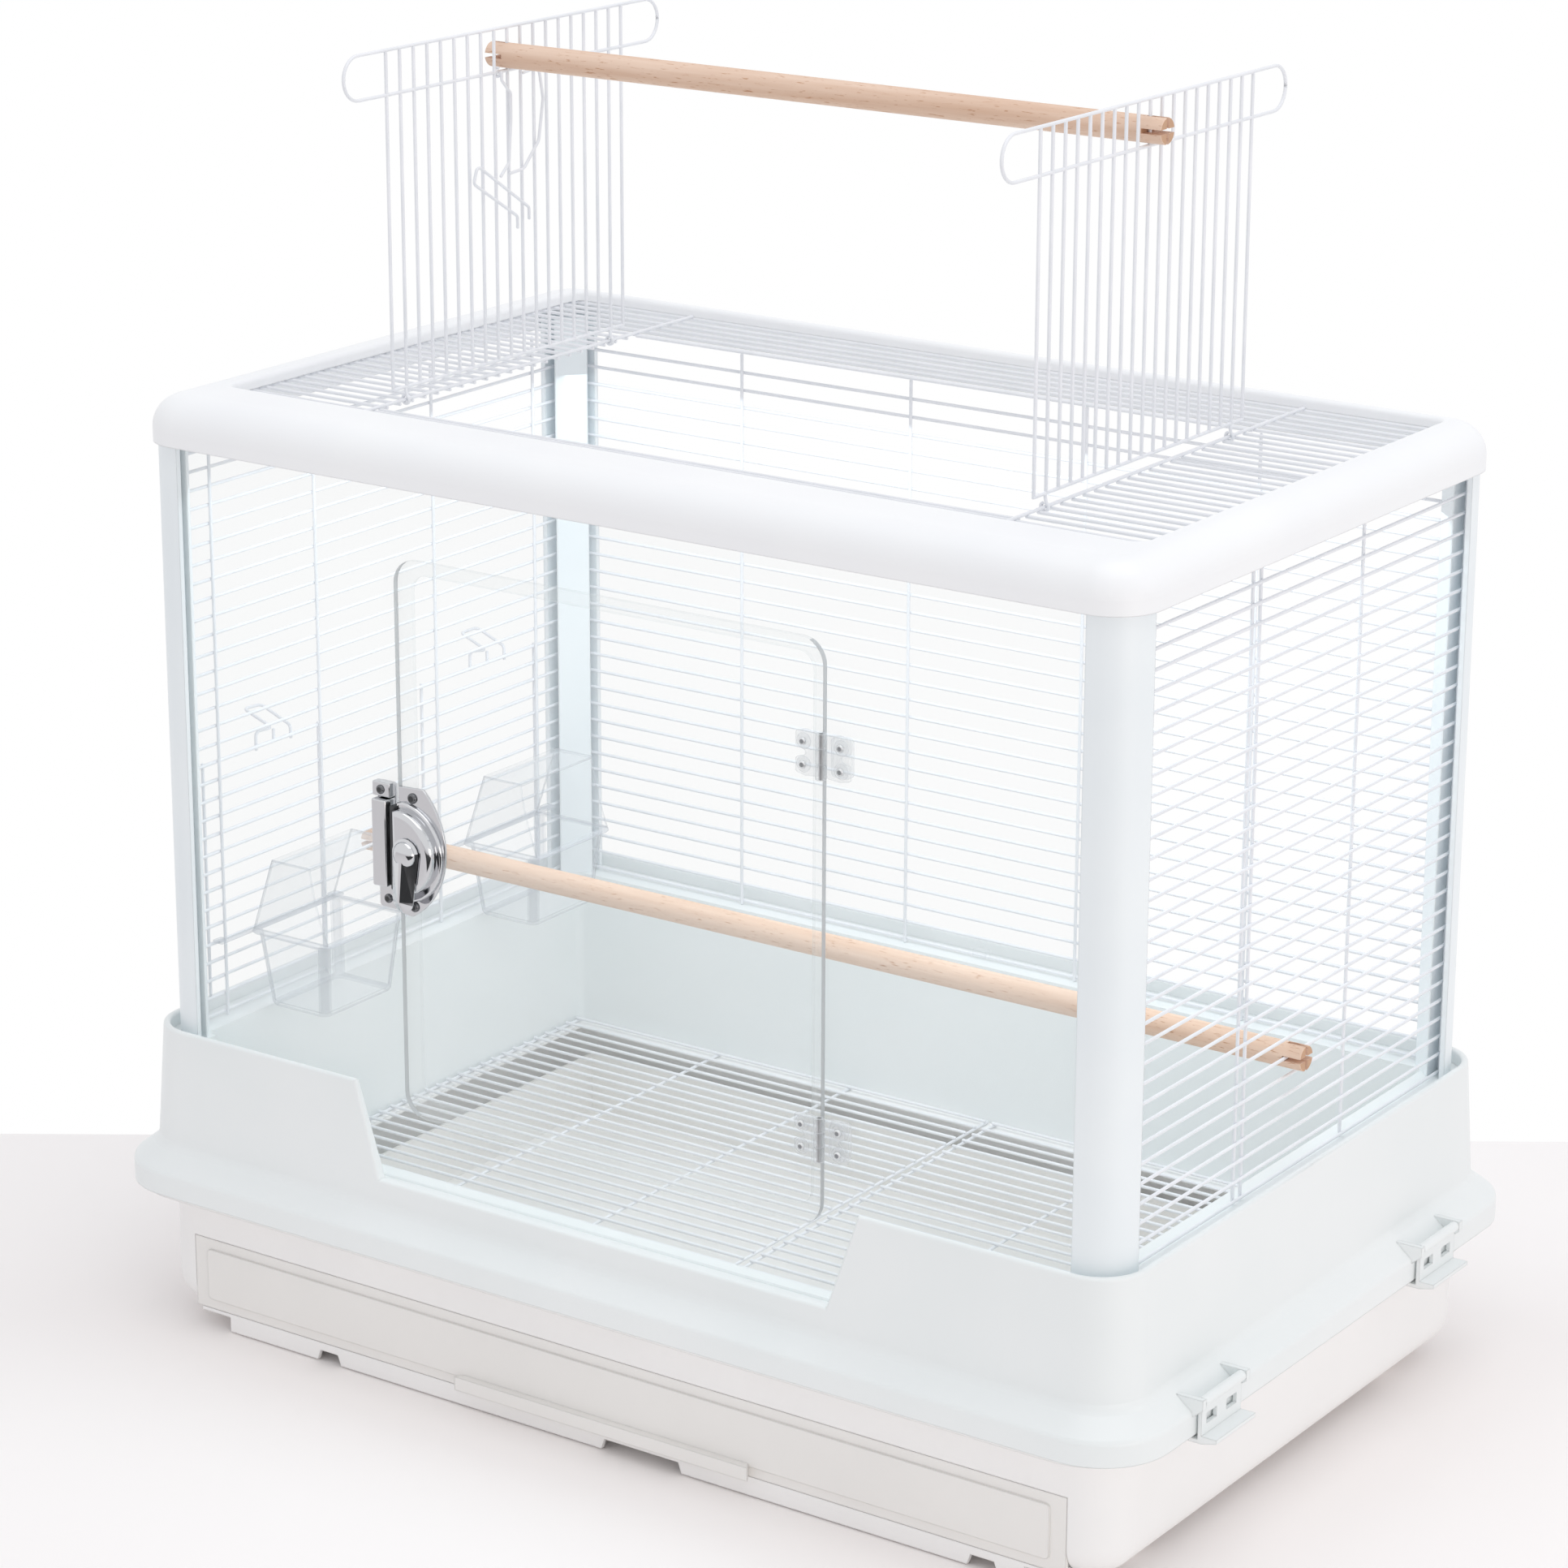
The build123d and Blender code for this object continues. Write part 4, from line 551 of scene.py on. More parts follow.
def bare_wood(name, pale, dark, end_grain):
    """Sanded beech: long soft grain along X, short dark flecks, and darker end grain."""
    made, tree, skin = material(name)
    place = add(tree, "ShaderNodeTexCoord").outputs["Object"]
    stretch = add(tree, "ShaderNodeMapping", {"Scale": (5.0, 110.0, 110.0)}, {"Vector": place})
    grain = add(tree, "ShaderNodeTexNoise", {"Scale": 1.0, "Detail": 5.0, "Roughness": 0.6},
                {"Vector": stretch.outputs["Vector"]})
    tone = add(tree, "ShaderNodeValToRGB", links={0: grain.outputs["Fac"]})
    tone.color_ramp.elements[0].position = 0.3
    tone.color_ramp.elements[0].color = linear(dark)
    tone.color_ramp.elements[1].position = 0.68
    tone.color_ramp.elements[1].color = linear(pale)
    # Pores: a noise of 8 by 1 mm, cut high, leaves short flecks drawn coarser than real
    pore_place = add(tree, "ShaderNodeMapping", {"Scale": (130.0, 900.0, 900.0)}, {"Vector": place})
    pores = add(tree, "ShaderNodeTexNoise", {"Scale": 1.0, "Detail": 2.0},
                {"Vector": pore_place.outputs["Vector"]})
    fleck = add(tree, "ShaderNodeMapRange", {"From Min": 0.62, "From Max": 0.72},
                {"Value": pores.outputs["Fac"]})
    flecked = add(
        tree,
        "ShaderNodeMix",
        {"data_type": "RGBA", "blend_type": "MULTIPLY", 7: linear("#D9BFA8")},
        {0: fleck.outputs["Result"], 6: tone.outputs["Color"]},
    )
    # The sawn ends face along X and are darker
    shape = add(tree, "ShaderNodeNewGeometry")
    facing = add(tree, "ShaderNodeSeparateXYZ", links={0: shape.outputs["Normal"]})
    sideways = add(tree, "ShaderNodeMath", {"operation": "ABSOLUTE"}, {0: facing.outputs["X"]})
    sawn = add(tree, "ShaderNodeMapRange", {"From Min": 0.8, "From Max": 0.95},
               {"Value": sideways.outputs[0]})
    ended = add(
        tree,
        "ShaderNodeMix",
        {"data_type": "RGBA", "blend_type": "MIX", 7: linear(end_grain)},
        {0: sawn.outputs["Result"], 6: flecked.outputs[2]},
    )
    tree.links.new(ended.outputs[2], skin.inputs["Base Color"])
    bump = add(tree, "ShaderNodeBump", {"Strength": 0.3, "Distance": 0.2 * MM},
               {"Height": grain.outputs["Fac"]})
    tree.links.new(bump.outputs["Normal"], skin.inputs["Normal"])
    skin.inputs["Roughness"].default_value = 0.62
    skin.inputs["IOR"].default_value = 1.5
    return made


bare_beech = bare_wood("beech_bare_turned", "#EACFBB", "#D8B59C", "#C79F80")
finish_node("lower_perch", bare_beech)

# Clear front panel and door
# Two sheets of 4 mm acrylic whose edges look grey end on, a painted reflection
# of the dark room. The panel sits in the slots of the front posts, and the door
# covers its opening.

acrylic_face = clear_plastic("acrylic_polished_face", "#F0F5F4", 0.04, 0.36, 0.02, 1.49)
# Painted reflection on the edges: a darker grey on the door's upright edges, a paler one on the rest
acrylic_edge = clear_plastic("acrylic_edge_painted_reflection", "#B9BCBE", 0.85, 0.95, 0.2, 1.49)
acrylic_faint_edge = clear_plastic("acrylic_flat_edge", "#D5DBDC", 0.08, 0.35, 0.1, 1.49)


def acrylic_sheet(outlines, front_y, back_y, upright_edges):
    """A clear sheet whose upright edges are painted grey for the dark of the room they reflect, unless they
    sit in a slot.
    """
    sheet = plate(outlines, front_y, back_y, 0.4)
    for face in sheet.polygons:
        if abs(face.normal.y) < 0.9:
            face.material_index = 1 if upright_edges and abs(face.normal.x) > 0.35 else 2
    return sheet


PANEL_FRONT = -213.0
DOOR_FRONT = -217.3
SHEET = 4.0
panel_outline = [(-329.7, 138.3), (329.7, 138.3), (329.7, 196.3), (343.7, 196.3),
                 (343.7, 591.0), (-343.7, 591.0), (-343.7, 196.3), (-329.7, 196.3)]
opening_outline = outline([(-147.5, 196.0), (147.5, 196.0), (147.5, 537.0), (-147.5, 537.0)], 11.0)
door_outline = outline([(-157.5, 186.0), (157.5, 186.0), (157.5, 547.0), (-157.5, 547.0)], 16.0)
acrylic = [acrylic_face, acrylic_edge, acrylic_faint_edge]
mesh_piece("front_panel_sheet", "base", acrylic,
           acrylic_sheet([panel_outline, opening_outline], PANEL_FRONT, PANEL_FRONT + SHEET, False),
           ["front_panel"])
mesh_piece("front_door_sheet", "door", acrylic,
           acrylic_sheet([door_outline], DOOR_FRONT, DOOR_FRONT + SHEET, True), ["front_door"])

# Hinges
# Two clear polycarbonate hinges on steel pins. Each leaf spreads into two
# rounded arms with a screw in each, and a boss under each screw.

clear_polycarbonate = clear_plastic("polycarbonate_clear", "#E6E9EB", 0.1, 0.6, 0.08, 1.585)
HINGE_X = 158.7
HINGE_Y = -221.0
HINGE_LEVELS = {"lower": 244.0, "upper": 479.0}
KNUCKLE = 28.0 / 3
LEAF_FRONT = -219.7
LEAF_BACK = -217.5
PAD_BACK = -213.2
SCREW_REACH = 13.0
SCREW_RISE = 7.0
TURN_STEPS = 24


def turned(middle, radii):
    """A turned piece on an axis along Y, from (y, radius) pairs."""
    rings = [
        [
            (
                middle[0] + radius * math.cos(math.tau * step / TURN_STEPS),
                y,
                middle[1] + radius * math.sin(math.tau * step / TURN_STEPS),
            )
            for step in range(TURN_STEPS)
        ]
        for y, radius in radii
    ]
    return shell_mesh(rings)


def knuckle(middle_z):
    """One round knuckle about the hinge axis."""
    half = (KNUCKLE - 0.4) / 2
    rings = [
        [
            (
                HINGE_X + radius * math.cos(math.tau * step / TURN_STEPS),
                HINGE_Y + radius * math.sin(math.tau * step / TURN_STEPS),
                z,
            )
            for step in range(TURN_STEPS)
        ]
        for z, radius in (
            (middle_z - half, 2.8),
            (middle_z - half + 0.5, 3.4),
            (middle_z + half - 0.5, 3.4),
            (middle_z + half, 2.8),
        )
    ]
    return shell_mesh(rings)


for place, middle_z in HINGE_LEVELS.items():
    for leaf, sign, knuckles in (("door", -1, (-KNUCKLE, KNUCKLE)), ("panel", 1, (0.0,))):
        arms = [(2.4, -13.0), (12.0, -14.0), (19.0, -12.5), (19.0, -3.5), (13.5, -1.8), (10.5, 0.0),
                (13.5, 1.8), (19.0, 3.5), (19.0, 12.5), (12.0, 14.0), (2.4, 13.0)]
        spread = outline([(HINGE_X + sign * u, middle_z + v) for u, v in arms], 1.8)
        parts = [plate([spread], LEAF_FRONT, LEAF_BACK, 0.6)]
        parts += [knuckle(middle_z + offset) for offset in knuckles]
        for end in (-1, 1):
            screw = (HINGE_X + sign * SCREW_REACH, middle_z + end * SCREW_RISE)
            parts.append(turned(screw, ((-220.9, 3.2), (-220.6, 4.4), (-219.8, 4.9), (-219.2, 4.9))))
        if leaf == "panel":
            pad = [
                (HINGE_X + 4.2, middle_z - 12.0),
                (HINGE_X + 18.0, middle_z - 12.0),
                (HINGE_X + 18.0, middle_z + 12.0),
                (HINGE_X + 4.2, middle_z + 12.0),
            ]
            parts.append(plate([outline(pad, 3.0)], LEAF_BACK, PAD_BACK, 0.5))
        mesh_piece(place + "_hinge_leaf_" + leaf, "door" if leaf == "door" else "base",
                   [clear_polycarbonate], joined(parts), [place + "_hinge_" + leaf + "_leaf"])


def bright_metal(name, colour, roughness, streak):
    """Polished or brushed metal, with fine scratches in its gloss."""
    made, tree, skin = material(name)
    place = add(tree, "ShaderNodeTexCoord").outputs["Object"]
    stretch = add(tree, "ShaderNodeMapping", {"Scale": streak}, {"Vector": place})
    rub = add(tree, "ShaderNodeTexNoise", {"Scale": 1.0, "Detail": 3.0},
              {"Vector": stretch.outputs["Vector"]})
    dull = add(
        tree,
        "ShaderNodeMapRange",
        {"To Min": max(roughness - 0.05, 0.02), "To Max": roughness + 0.08},
        {"Value": rub.outputs["Fac"]},
    )
    tree.links.new(dull.outputs["Result"], skin.inputs["Roughness"])
    skin.inputs["Base Color"].default_value = linear(colour)
    skin.inputs["Metallic"].default_value = 1.0
    return made


zinc_steel = bright_metal("steel_zinc_plated", "#B9BABC", 0.3, (900.0, 900.0, 200.0))
finish_node("lower_hinge_pin", zinc_steel)
finish_node("upper_hinge_pin", zinc_steel)


def screw_heads(places, face_y, radius, height):
    """Pan heads with a cross recess, pressed in as a small cone. The recess takes slot 1, for a painted
    shade.
    """
    heads = []
    for spot in places:
        head = turned(spot, (
            (face_y + 0.6, radius * 0.9),
            (face_y, radius),
            (face_y - height * 0.5, radius * 0.96),
            (face_y - height * 0.85, radius * 0.75),
            (face_y - height, radius * 0.58),
            (face_y - height * 0.35, radius * 0.16),
        ))
        for face in head.polygons:
            near_axis = math.hypot(face.center.x / MM - spot[0], face.center.z / MM - spot[1])
            if near_axis < radius * 0.5 and face.center.y / MM < face_y:
                face.material_index = 1
        heads.append(head)
    return joined(heads)


def even_finish(name, colour, roughness):
    """One even tone, for the painted shade of a cross recess too small to show more and for a card out of
    view.
    """
    made, _, skin = material(name)
    skin.inputs["Base Color"].default_value = linear(colour)
    skin.inputs["Roughness"].default_value = roughness
    return made


bright_zinc = bright_metal("steel_zinc_bright", "#E4E6E8", 0.32, (900.0, 900.0, 200.0))
# The hinge screws' cross recesses take a grey painted shade
zinc_recess = even_finish("steel_recess_painted_shade_grey", "#8E9194", 0.5)
for leaf, sign in (("door", -1), ("panel", 1)):
    places = [
        (HINGE_X + sign * SCREW_REACH, middle_z + end * SCREW_RISE)
        for middle_z in HINGE_LEVELS.values()
        for end in (-1, 1)
    ]
    mesh_piece("hinge_screw_heads_" + leaf, "door" if leaf == "door" else "base",
               [bright_zinc, zinc_recess], screw_heads(places, -220.9, 2.4, 1.0), ["hinge_screws_" + leaf])

# Crescent lock and keeper
# A chrome-plated zinc lock: a half-moon cover on a thin base, a ridged lever on
# the door, and a keeper with a tall block on the fixed panel.

chrome_plate = bright_metal("zinc_chrome_plated", "#CFD0D3", 0.07, (300.0, 300.0, 60.0))
recess_shadow = even_finish("steel_recess_in_shadow", "#3A3B3D", 0.5)
LOCK_PIVOT = (-143.0, 364.0)
LOCK_FRONT = -219.3
HUB_RADIUS = 10
TIP_RADIUS = 8
LEVER_STEPS = 12


def arc(start, via, end, steps):
    """Points on the circle through three places, from the first to the last."""
    (ax, az), (bx, bz), (cx, cz) = start, via, end
    twice = 2 * (ax * (bz - cz) + bx * (cz - az) + cx * (az - bz))
    squares = [ax * ax + az * az, bx * bx + bz * bz, cx * cx + cz * cz]
    mx = (squares[0] * (bz - cz) + squares[1] * (cz - az) + squares[2] * (az - bz)) / twice
    mz = (squares[0] * (cx - bx) + squares[1] * (ax - cx) + squares[2] * (bx - ax)) / twice
    radius = math.hypot(ax - mx, az - mz)
    first = math.atan2(az - mz, ax - mx)
    turn = (math.atan2(cz - mz, cx - mx) - first) % math.tau
    return [
        (mx + radius * math.cos(first + turn * k / steps), mz + radius * math.sin(first + turn * k / steps))
        for k in range(steps + 1)
    ]


ARC_STEPS = 28
base_outline = [(-155.5, 403.0), (-155.5, 321.0)]
base_outline += arc((-146.5, 320.0), (-119.8, 366.0), (-136.5, 404.0), ARC_STEPS)
band_outline = [(-155.5, 393.0), (-155.5, 330.0)]
band_outline += arc((-152.5, 329.0), (-121.2, 364.5), (-151.0, 394.0), ARC_STEPS)
dome_outline = [(-155.5, 389.5), (-155.5, 334.0)]
dome_outline += arc((-153.0, 334.5), (-124.6, 363.0), (-151.0, 390.0), ARC_STEPS)
case_parts = [
    plate([base_outline], LOCK_FRONT, DOOR_FRONT, 0.5),
    plate([band_outline], -221.8, -218.8, 1.4),
    plate([dome_outline], -228.2, -219.0, 3.6),
]
# A dark strip beside the cover, taken for the edge of the lock's cam and painted all over in the shade tone
# of a recess
cam_edge_painted_shade = block((-158.9, -224.5, 337.0), (-155.3, -217.6, 391.0), 0.6)
for face in cam_edge_painted_shade.polygons:
    face.material_index = 1
case_parts.append(cam_edge_painted_shade)
# Painted shade: the lock and keeper screw heads are a dark steel, for the shade around them on the lock
dark_steel = bright_metal("steel_painted_shade_dark", "#6F7073", 0.22, (300.0, 300.0, 60.0))
mesh_piece("lock_case_chromed", "door", [chrome_plate, recess_shadow],
           joined(case_parts), ["lock_case"])
mesh_piece("lock_screw_heads", "door", [dark_steel, recess_shadow],
           screw_heads([(-144.5, 397.0), (-144.5, 327.0)], LOCK_FRONT, 3.4, 1.8), ["lock_screws"])


def lever_outline(scale):
    """The lever from its round hub to its tip, drawn in towards the ridge by scale."""
    hub_x, hub_z = LOCK_PIVOT
    tip_x, tip_z = hub_x - 2.5, hub_z - 30.0
    points = []
    for x, z, radius, first, sweep in (
        (hub_x, hub_z, HUB_RADIUS * scale, -4, 188),
        (tip_x, tip_z, TIP_RADIUS * scale, 184, 172),
    ):
        for step in range(LEVER_STEPS + 1):
            angle = math.radians(first + sweep * step / LEVER_STEPS)
            points.append((x + radius * math.cos(angle), z + radius * math.sin(angle)))
    return points


lever_rings = [
    [(x, y, z) for x, z in lever_outline(scale)]
    for y, scale in ((-228.6, 0.97), (-229.0, 1.0), (-229.6, 1.0), (-234.0, 0.1))
]
lever_wedge = shell_mesh(lever_rings)
for face in lever_wedge.polygons:
    face.use_smooth = False
hub_steps = [math.radians(90 * step / 6) for step in range(7)]
lever_parts = [
    lever_wedge,
    turned(LOCK_PIVOT, [(-229.8 - 4.8 * math.sin(rise), 0.3 + 8.2 * math.cos(rise)) for rise in hub_steps]),
    turned(LOCK_PIVOT, ((-228.7, 3.0), (-222.0, 3.0))),
]
mesh_piece("lock_lever_chromed", "lever", [chrome_plate],
           joined(lever_parts), ["lock_lever"])

KEEPER_EDGE = -161.0
KEEPER_SCREW = -168.0
KEEPER_FRONT = -216.0
EAR_FRONT = -221.5
keeper_base = [(-175.0, 321.0), (KEEPER_EDGE, 321.0), (KEEPER_EDGE, 403.0), (-175.0, 403.0)]
keeper_parts = [
    plate([outline(keeper_base, 2.5)], KEEPER_FRONT, PANEL_FRONT, 0.5),
    block((-172.0, -226.0, 338.0), (KEEPER_EDGE, KEEPER_FRONT + 0.5, 394.0), 0.9),
    block((-174.6, EAR_FRONT, 394.6), (KEEPER_EDGE, KEEPER_FRONT + 0.5, 403.8), 0.7),
]
mesh_piece("lock_keeper_chromed", "base", [chrome_plate],
           joined(keeper_parts), ["lock_keeper"])
keeper_heads = joined([
    screw_heads([(KEEPER_SCREW, 327.0)], KEEPER_FRONT, 3.0, 1.6),
    screw_heads([(KEEPER_SCREW, 399.2)], EAR_FRONT, 3.0, 1.4),
])
mesh_piece("keeper_screw_heads", "base", [dark_steel, recess_shadow],
           keeper_heads, ["keeper_screws"])

# Roof frame
# One white ABS cap moulding around the top, deeply rounded outside, which
# stands on the posts and holds the roof grille.

roof_abs = moulded_plastic("abs_satin_bright_white", "#F7F8F9", "#F4F5F7", 0.38, 1.53, 0.1)
finish_node("roof_frame", roof_abs)

# Roof grille
# Wires from side to side under the inner edge of the frame, with a large
# opening between two cross bars on which the roof doors turn.

ROOF_PITCH = 12.5
OPENING_HALF = 134.0
DOOR_X = 235.0
low, high = span("roof_grille")
wire_z = 611.6
BAR_ENDS = (-163.7, 198.7)
count = math.floor((high.y - low.y - 2 * WIRE_HALF) / ROOF_PITCH) + 1
middle = (low.y + high.y) / 2
routes = []
for k in range(count):
    y = middle + ROOF_PITCH * (k - (count - 1) / 2)
    if abs(y) < OPENING_HALF:
        routes.append(([(low.x, y, wire_z), (-DOOR_X + WIRE_HALF, y, wire_z)], False))
        routes.append(([(DOOR_X - WIRE_HALF, y, wire_z), (high.x, y, wire_z)], False))
    else:
        routes.append(([(low.x, y, wire_z), (high.x, y, wire_z)], False))
for x in (-DOOR_X, DOOR_X):
    routes.append(([(x, y, wire_z + WELD) for y in BAR_ENDS], False))
for x in (low.x + WIRE_HALF, high.x - WIRE_HALF):
    routes.append(([(x, low.y, wire_z - WELD), (x, high.y, wire_z - WELD)], False))
for y in (-OPENING_HALF, OPENING_HALF):
    routes.append(([(-DOOR_X, y, wire_z), (DOOR_X, y, wire_z)], False))
wire_piece("roof_grille_wires", "base", white_epoxy, routes, ["roof_grille"])

# Roof doors
# Two welded wire doors that stand upright on the cross bars of the grille.
# Each has a double rail bent into one long loop, and turns on two wire eyes.

DOOR_PITCH = 13.3
DOOR_WIRES = 19
PIVOT_Z = wire_z + WELD
RAIL_LOW = PIVOT_Z + 192.6
RAIL_HIGH = PIVOT_Z + 220.0
RAIL_HALF = 160.0
BAR_Z = PIVOT_Z + 8.0
EYE_RADIUS = 2.6
first_roof_wire = middle - ROOF_PITCH * (count - 1) / 2
half_span = DOOR_PITCH * (DOOR_WIRES - 1) / 2
eye_places = [
    first_roof_wire + ROOF_PITCH * (math.floor((wanted - first_roof_wire) / ROOF_PITCH) + 0.5)
    for wanted in (-half_span + DOOR_PITCH, half_span - DOOR_PITCH)
]
for side, sign in (("left", -1), ("right", 1)):
    x = sign * DOOR_X
    routes = []
    for k in range(DOOR_WIRES):
        y = DOOR_PITCH * (k - (DOOR_WIRES - 1) / 2)
        routes.append(([(x, y, BAR_Z), (x, y, RAIL_HIGH)], False))
    routes.append(([(x, -half_span - WIRE_HALF, BAR_Z), (x, half_span + WIRE_HALF, BAR_Z)], False))
    bend = (RAIL_HIGH - RAIL_LOW) / 2 - 0.01
    loop = [
        (x, -RAIL_HALF, RAIL_LOW),
        (x, RAIL_HALF, RAIL_LOW),
        (x, RAIL_HALF, RAIL_HIGH),
        (x, -RAIL_HALF, RAIL_HIGH),
    ]
    routes.append((rounded_route(loop, bend, closed=True), True))
    for eye_y in eye_places:
        ring = [
            (x + EYE_RADIUS * math.sin(turn), eye_y, PIVOT_Z + EYE_RADIUS * math.cos(turn))
            for turn in (math.radians(angle) for angle in range(20, 341, 20))
        ]
        routes.append(([(x, eye_y, BAR_Z)] + ring, False))
    wire_piece("roof_door_wires_" + side, "roof_gate_" + side, white_epoxy,
               routes, ["roof_door_" + side])

# Roof perch
# The same turned beech, pushed between the rails of the two roof doors.

finish_node("roof_perch", bare_beech)

# Hook on the left roof door
# A bent wire of the same epoxy coat that hangs from the lower rail, with a
# smaller U-shaped clip hooked into its foot.

HOOK_X = -231.6
HOOK_RADIUS = 1.0 * MM
EAR_RADIUS = 2.7
EAR_Y = -10.2
hanger = [
    (HOOK_X, EAR_Y, RAIL_LOW + 1),
    (HOOK_X, EAR_Y, RAIL_LOW - 5),
    (HOOK_X, -1.4, RAIL_LOW - 14),
    (HOOK_X, -1.4, RAIL_LOW - 30),
    (HOOK_X, -4.0, RAIL_LOW - 58),
    (HOOK_X, -13.0, RAIL_LOW - 66),
]
bow = [
    (HOOK_X, 11.0, RAIL_LOW - 3.0),
    (HOOK_X, 28.0, RAIL_LOW - 1.0),
    (HOOK_X, 32.0, RAIL_LOW - 22),
    (HOOK_X, 27.0, RAIL_LOW - 48),
    (HOOK_X, 11.0, RAIL_LOW - 64),
    (HOOK_X, -4.0, RAIL_LOW - 65),
]
clip = [
    (HOOK_X + 1.5, 14.0, RAIL_LOW - 97),
    (HOOK_X + 1.5, 14.0, RAIL_LOW - 89),
    (HOOK_X + 1.5, -38.0, RAIL_LOW - 55),
    (HOOK_X + 1.5, -42.0, RAIL_LOW - 66),
    (HOOK_X + 1.5, 2.0, RAIL_LOW - 93),
    (HOOK_X + 1.5, 2.0, RAIL_LOW - 101),
]
ear = [
    (-DOOR_X + EAR_RADIUS * math.sin(turn), EAR_Y, RAIL_LOW + EAR_RADIUS * math.cos(turn))
    for turn in (math.radians(angle) for angle in range(90, 401, 20))
]
ear_far = [(x, 26.0, z) for x, y, z in ear]
hook_routes = [
    (rounded_route(hanger, 3.0), False),
    (rounded_route(bow, 6.0), False),
    (rounded_route(clip, 3.0), False),
    (ear, False),
    (ear_far, False),
]
wire_piece("roof_door_hook_wire", "hook", white_epoxy, hook_routes,
           ["roof_door_hook"], HOOK_RADIUS)

# Studio
# A pale pinkish table with a white wall behind it, a large overhead soft box,
# two smaller ones at the right, one inside the cage, and a dark card that only
# gloss reflects. The lamps are set by comparison and aren't a known studio.

TABLE_EDGE = ((-673.5, -55.4), (263.6, 587.8))
TABLE_SIDE = 4000
TABLE_DEPTH = 6000


def stage_sheet(name, corners, finish):
    mesh = bpy.data.meshes.new(name)
    mesh.from_pydata([Vector(corner) * MM for corner in corners], [], [(0, 1, 2, 3)])
    mesh.materials.append(finish)
    sheet = bpy.data.objects.new(name, mesh)
    bpy.context.scene.collection.objects.link(sheet)
    return sheet


table_top, table_tree, table_skin = material("table_matte_pinkish_white")
table_place = add(table_tree, "ShaderNodeTexCoord").outputs["Object"]
table_cloud = add(table_tree, "ShaderNodeTexNoise", {"Scale": 1.2, "Detail": 1.0}, {"Vector": table_place})
table_tone = add(table_tree, "ShaderNodeValToRGB", links={0: table_cloud.outputs["Fac"]})
table_tone.color_ramp.elements[0].color = linear("#F9F4F2")
table_tone.color_ramp.elements[1].color = linear("#FDFAF9")
table_tree.links.new(table_tone.outputs["Color"], table_skin.inputs["Base Color"])
table_skin.inputs["Roughness"].default_value = 0.9
table_skin.inputs["Specular IOR Level"].default_value = 0.0

edge_start, edge_end = (Vector((*spot, 0)) for spot in TABLE_EDGE)
along = (edge_end - edge_start).normalized()
forward = Vector((-along.y, along.x, 0))
table_corners = [
    edge_start - along * TABLE_SIDE,
    edge_end + along * TABLE_SIDE,
    edge_end + along * TABLE_SIDE - forward * TABLE_DEPTH,
    edge_start - along * TABLE_SIDE - forward * TABLE_DEPTH,
]
stage_sheet("table", table_corners, table_top)

world = bpy.data.worlds.new("studio")
bpy.context.scene.world = world
world.use_nodes = True
sky = world.node_tree
room = sky.nodes["Background"]
seen = add(sky, "ShaderNodeLightPath")
mirror = add(sky, "ShaderNodeMath", {"operation": "MAXIMUM"},
             {0: seen.outputs["Is Camera Ray"], 1: seen.outputs["Is Glossy Ray"]})
direct = add(sky, "ShaderNodeMath", {"operation": "MAXIMUM"},
             {0: mirror.outputs[0], 1: seen.outputs["Is Transmission Ray"]})
white_wall = add(sky, "ShaderNodeBackground", {"Color": linear("#FFFFFF"), "Strength": 1.0})
room.inputs["Color"].default_value = linear("#FBFCFF")
room.inputs["Strength"].default_value = 0.78
choice = add(sky, "ShaderNodeMixShader",
             links={0: direct.outputs[0], 1: room.outputs[0], 2: white_wall.outputs[0]})
sky.links.new(choice.outputs[0], sky.nodes["World Output"].inputs["Surface"])


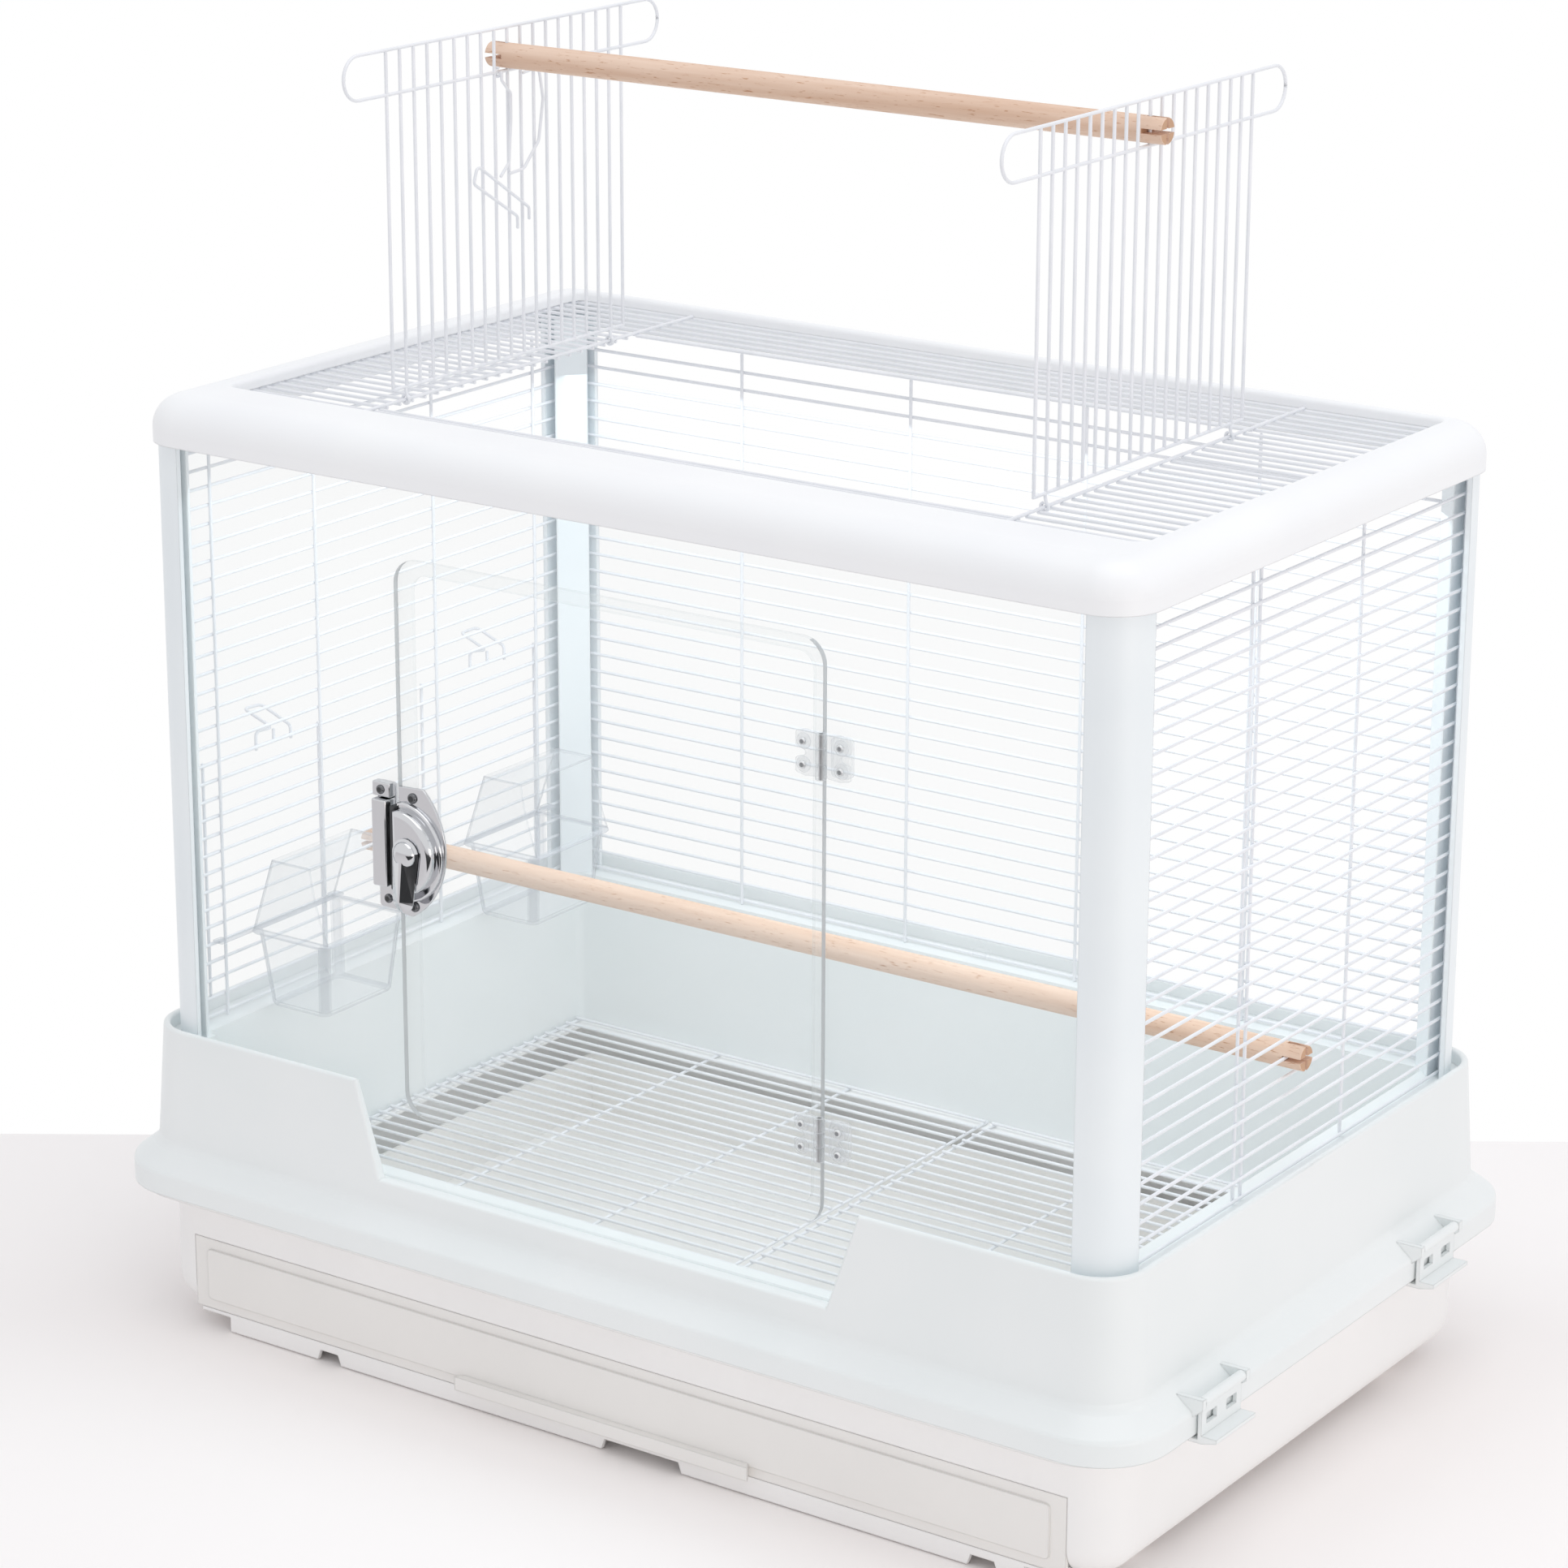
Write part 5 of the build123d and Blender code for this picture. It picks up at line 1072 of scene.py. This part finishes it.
def soft_box(name, place, aim, size, power, colour):
    lamp = bpy.data.lights.new(name, "AREA")
    lamp.shape = "RECTANGLE"
    lamp.size, lamp.size_y = size
    lamp.energy = power
    lamp.color = linear(colour)[:3]
    box = bpy.data.objects.new(name, lamp)
    box.location = place
    box.rotation_euler = (Vector(aim) - Vector(place)).to_track_quat("-Z", "Y").to_euler()
    bpy.context.scene.collection.objects.link(box)
    return box


soft_box("overhead", (0.4, -0.2, 2.9), (0, 0, 0.4), (2.4, 2.4), 19, "#FFFFFF")
soft_box("side", (2.8, 0.6, 1.6), (0, 0, 0.35), (1.6, 1.6), 4, "#FAFCFF")
soft_box("low_side", (2.2, -0.9, 0.4), (0.3, 0, 0.1), (1.4, 0.6), 4, "#FFF5EA")

# A fill light inside the cage, seen only by matte surfaces, which lifts the tray
inside = soft_box("fill_inside", (0, 0, 0.56), (0, 0, 0), (0.68, 0.41), 1.05, "#ECFBFF")
inside.visible_camera = False
inside.visible_glossy = False
inside.visible_transmission = False

card_black = even_finish("card_matte_black", "#1C1C1E", 0.9)
card_corners = [(-300, -2400, 3), (1900, -2400, 3), (1700, -450, 3), (0, -750, 3)]
dark_card = stage_sheet("dark_card", card_corners, card_black)
dark_card.visible_camera = False
dark_card.visible_diffuse = False
dark_card.visible_shadow = False
dark_card.visible_transmission = False

# The place, heading and lens come from the perspective of straight edges
CAMERA_PLACE = (1.59611, -2.32666, 1.27433)
SENSOR = 36.0
FOCAL_PIXELS = 5770.5
PICTURE_PIXELS = 1932
CAMERA_HEADING = 0.60725
CAMERA_DIP = 0.30824
CAMERA_ROLL = 0.00301
camera_data = bpy.data.cameras.new("camera")
camera_data.sensor_width = SENSOR
camera_data.lens = SENSOR * FOCAL_PIXELS / PICTURE_PIXELS
camera_data.clip_end = 30.0
camera = bpy.data.objects.new("camera", camera_data)
camera.matrix_world = (
    Matrix.Translation(CAMERA_PLACE)
    @ Matrix.Rotation(CAMERA_HEADING, 4, "Z")
    @ Matrix.Rotation(math.pi / 2 - CAMERA_DIP, 4, "X")
    @ Matrix.Rotation(CAMERA_ROLL, 4, "Z")
)
bpy.context.scene.collection.objects.link(camera)
bpy.context.scene.camera = camera
bpy.context.scene.view_settings.view_transform = "Standard"
# The clear pieces overlap many deep, and the tray is lit by white on white
bpy.context.scene.cycles.transparent_max_bounces = 48
bpy.context.scene.cycles.diffuse_bounces = 8
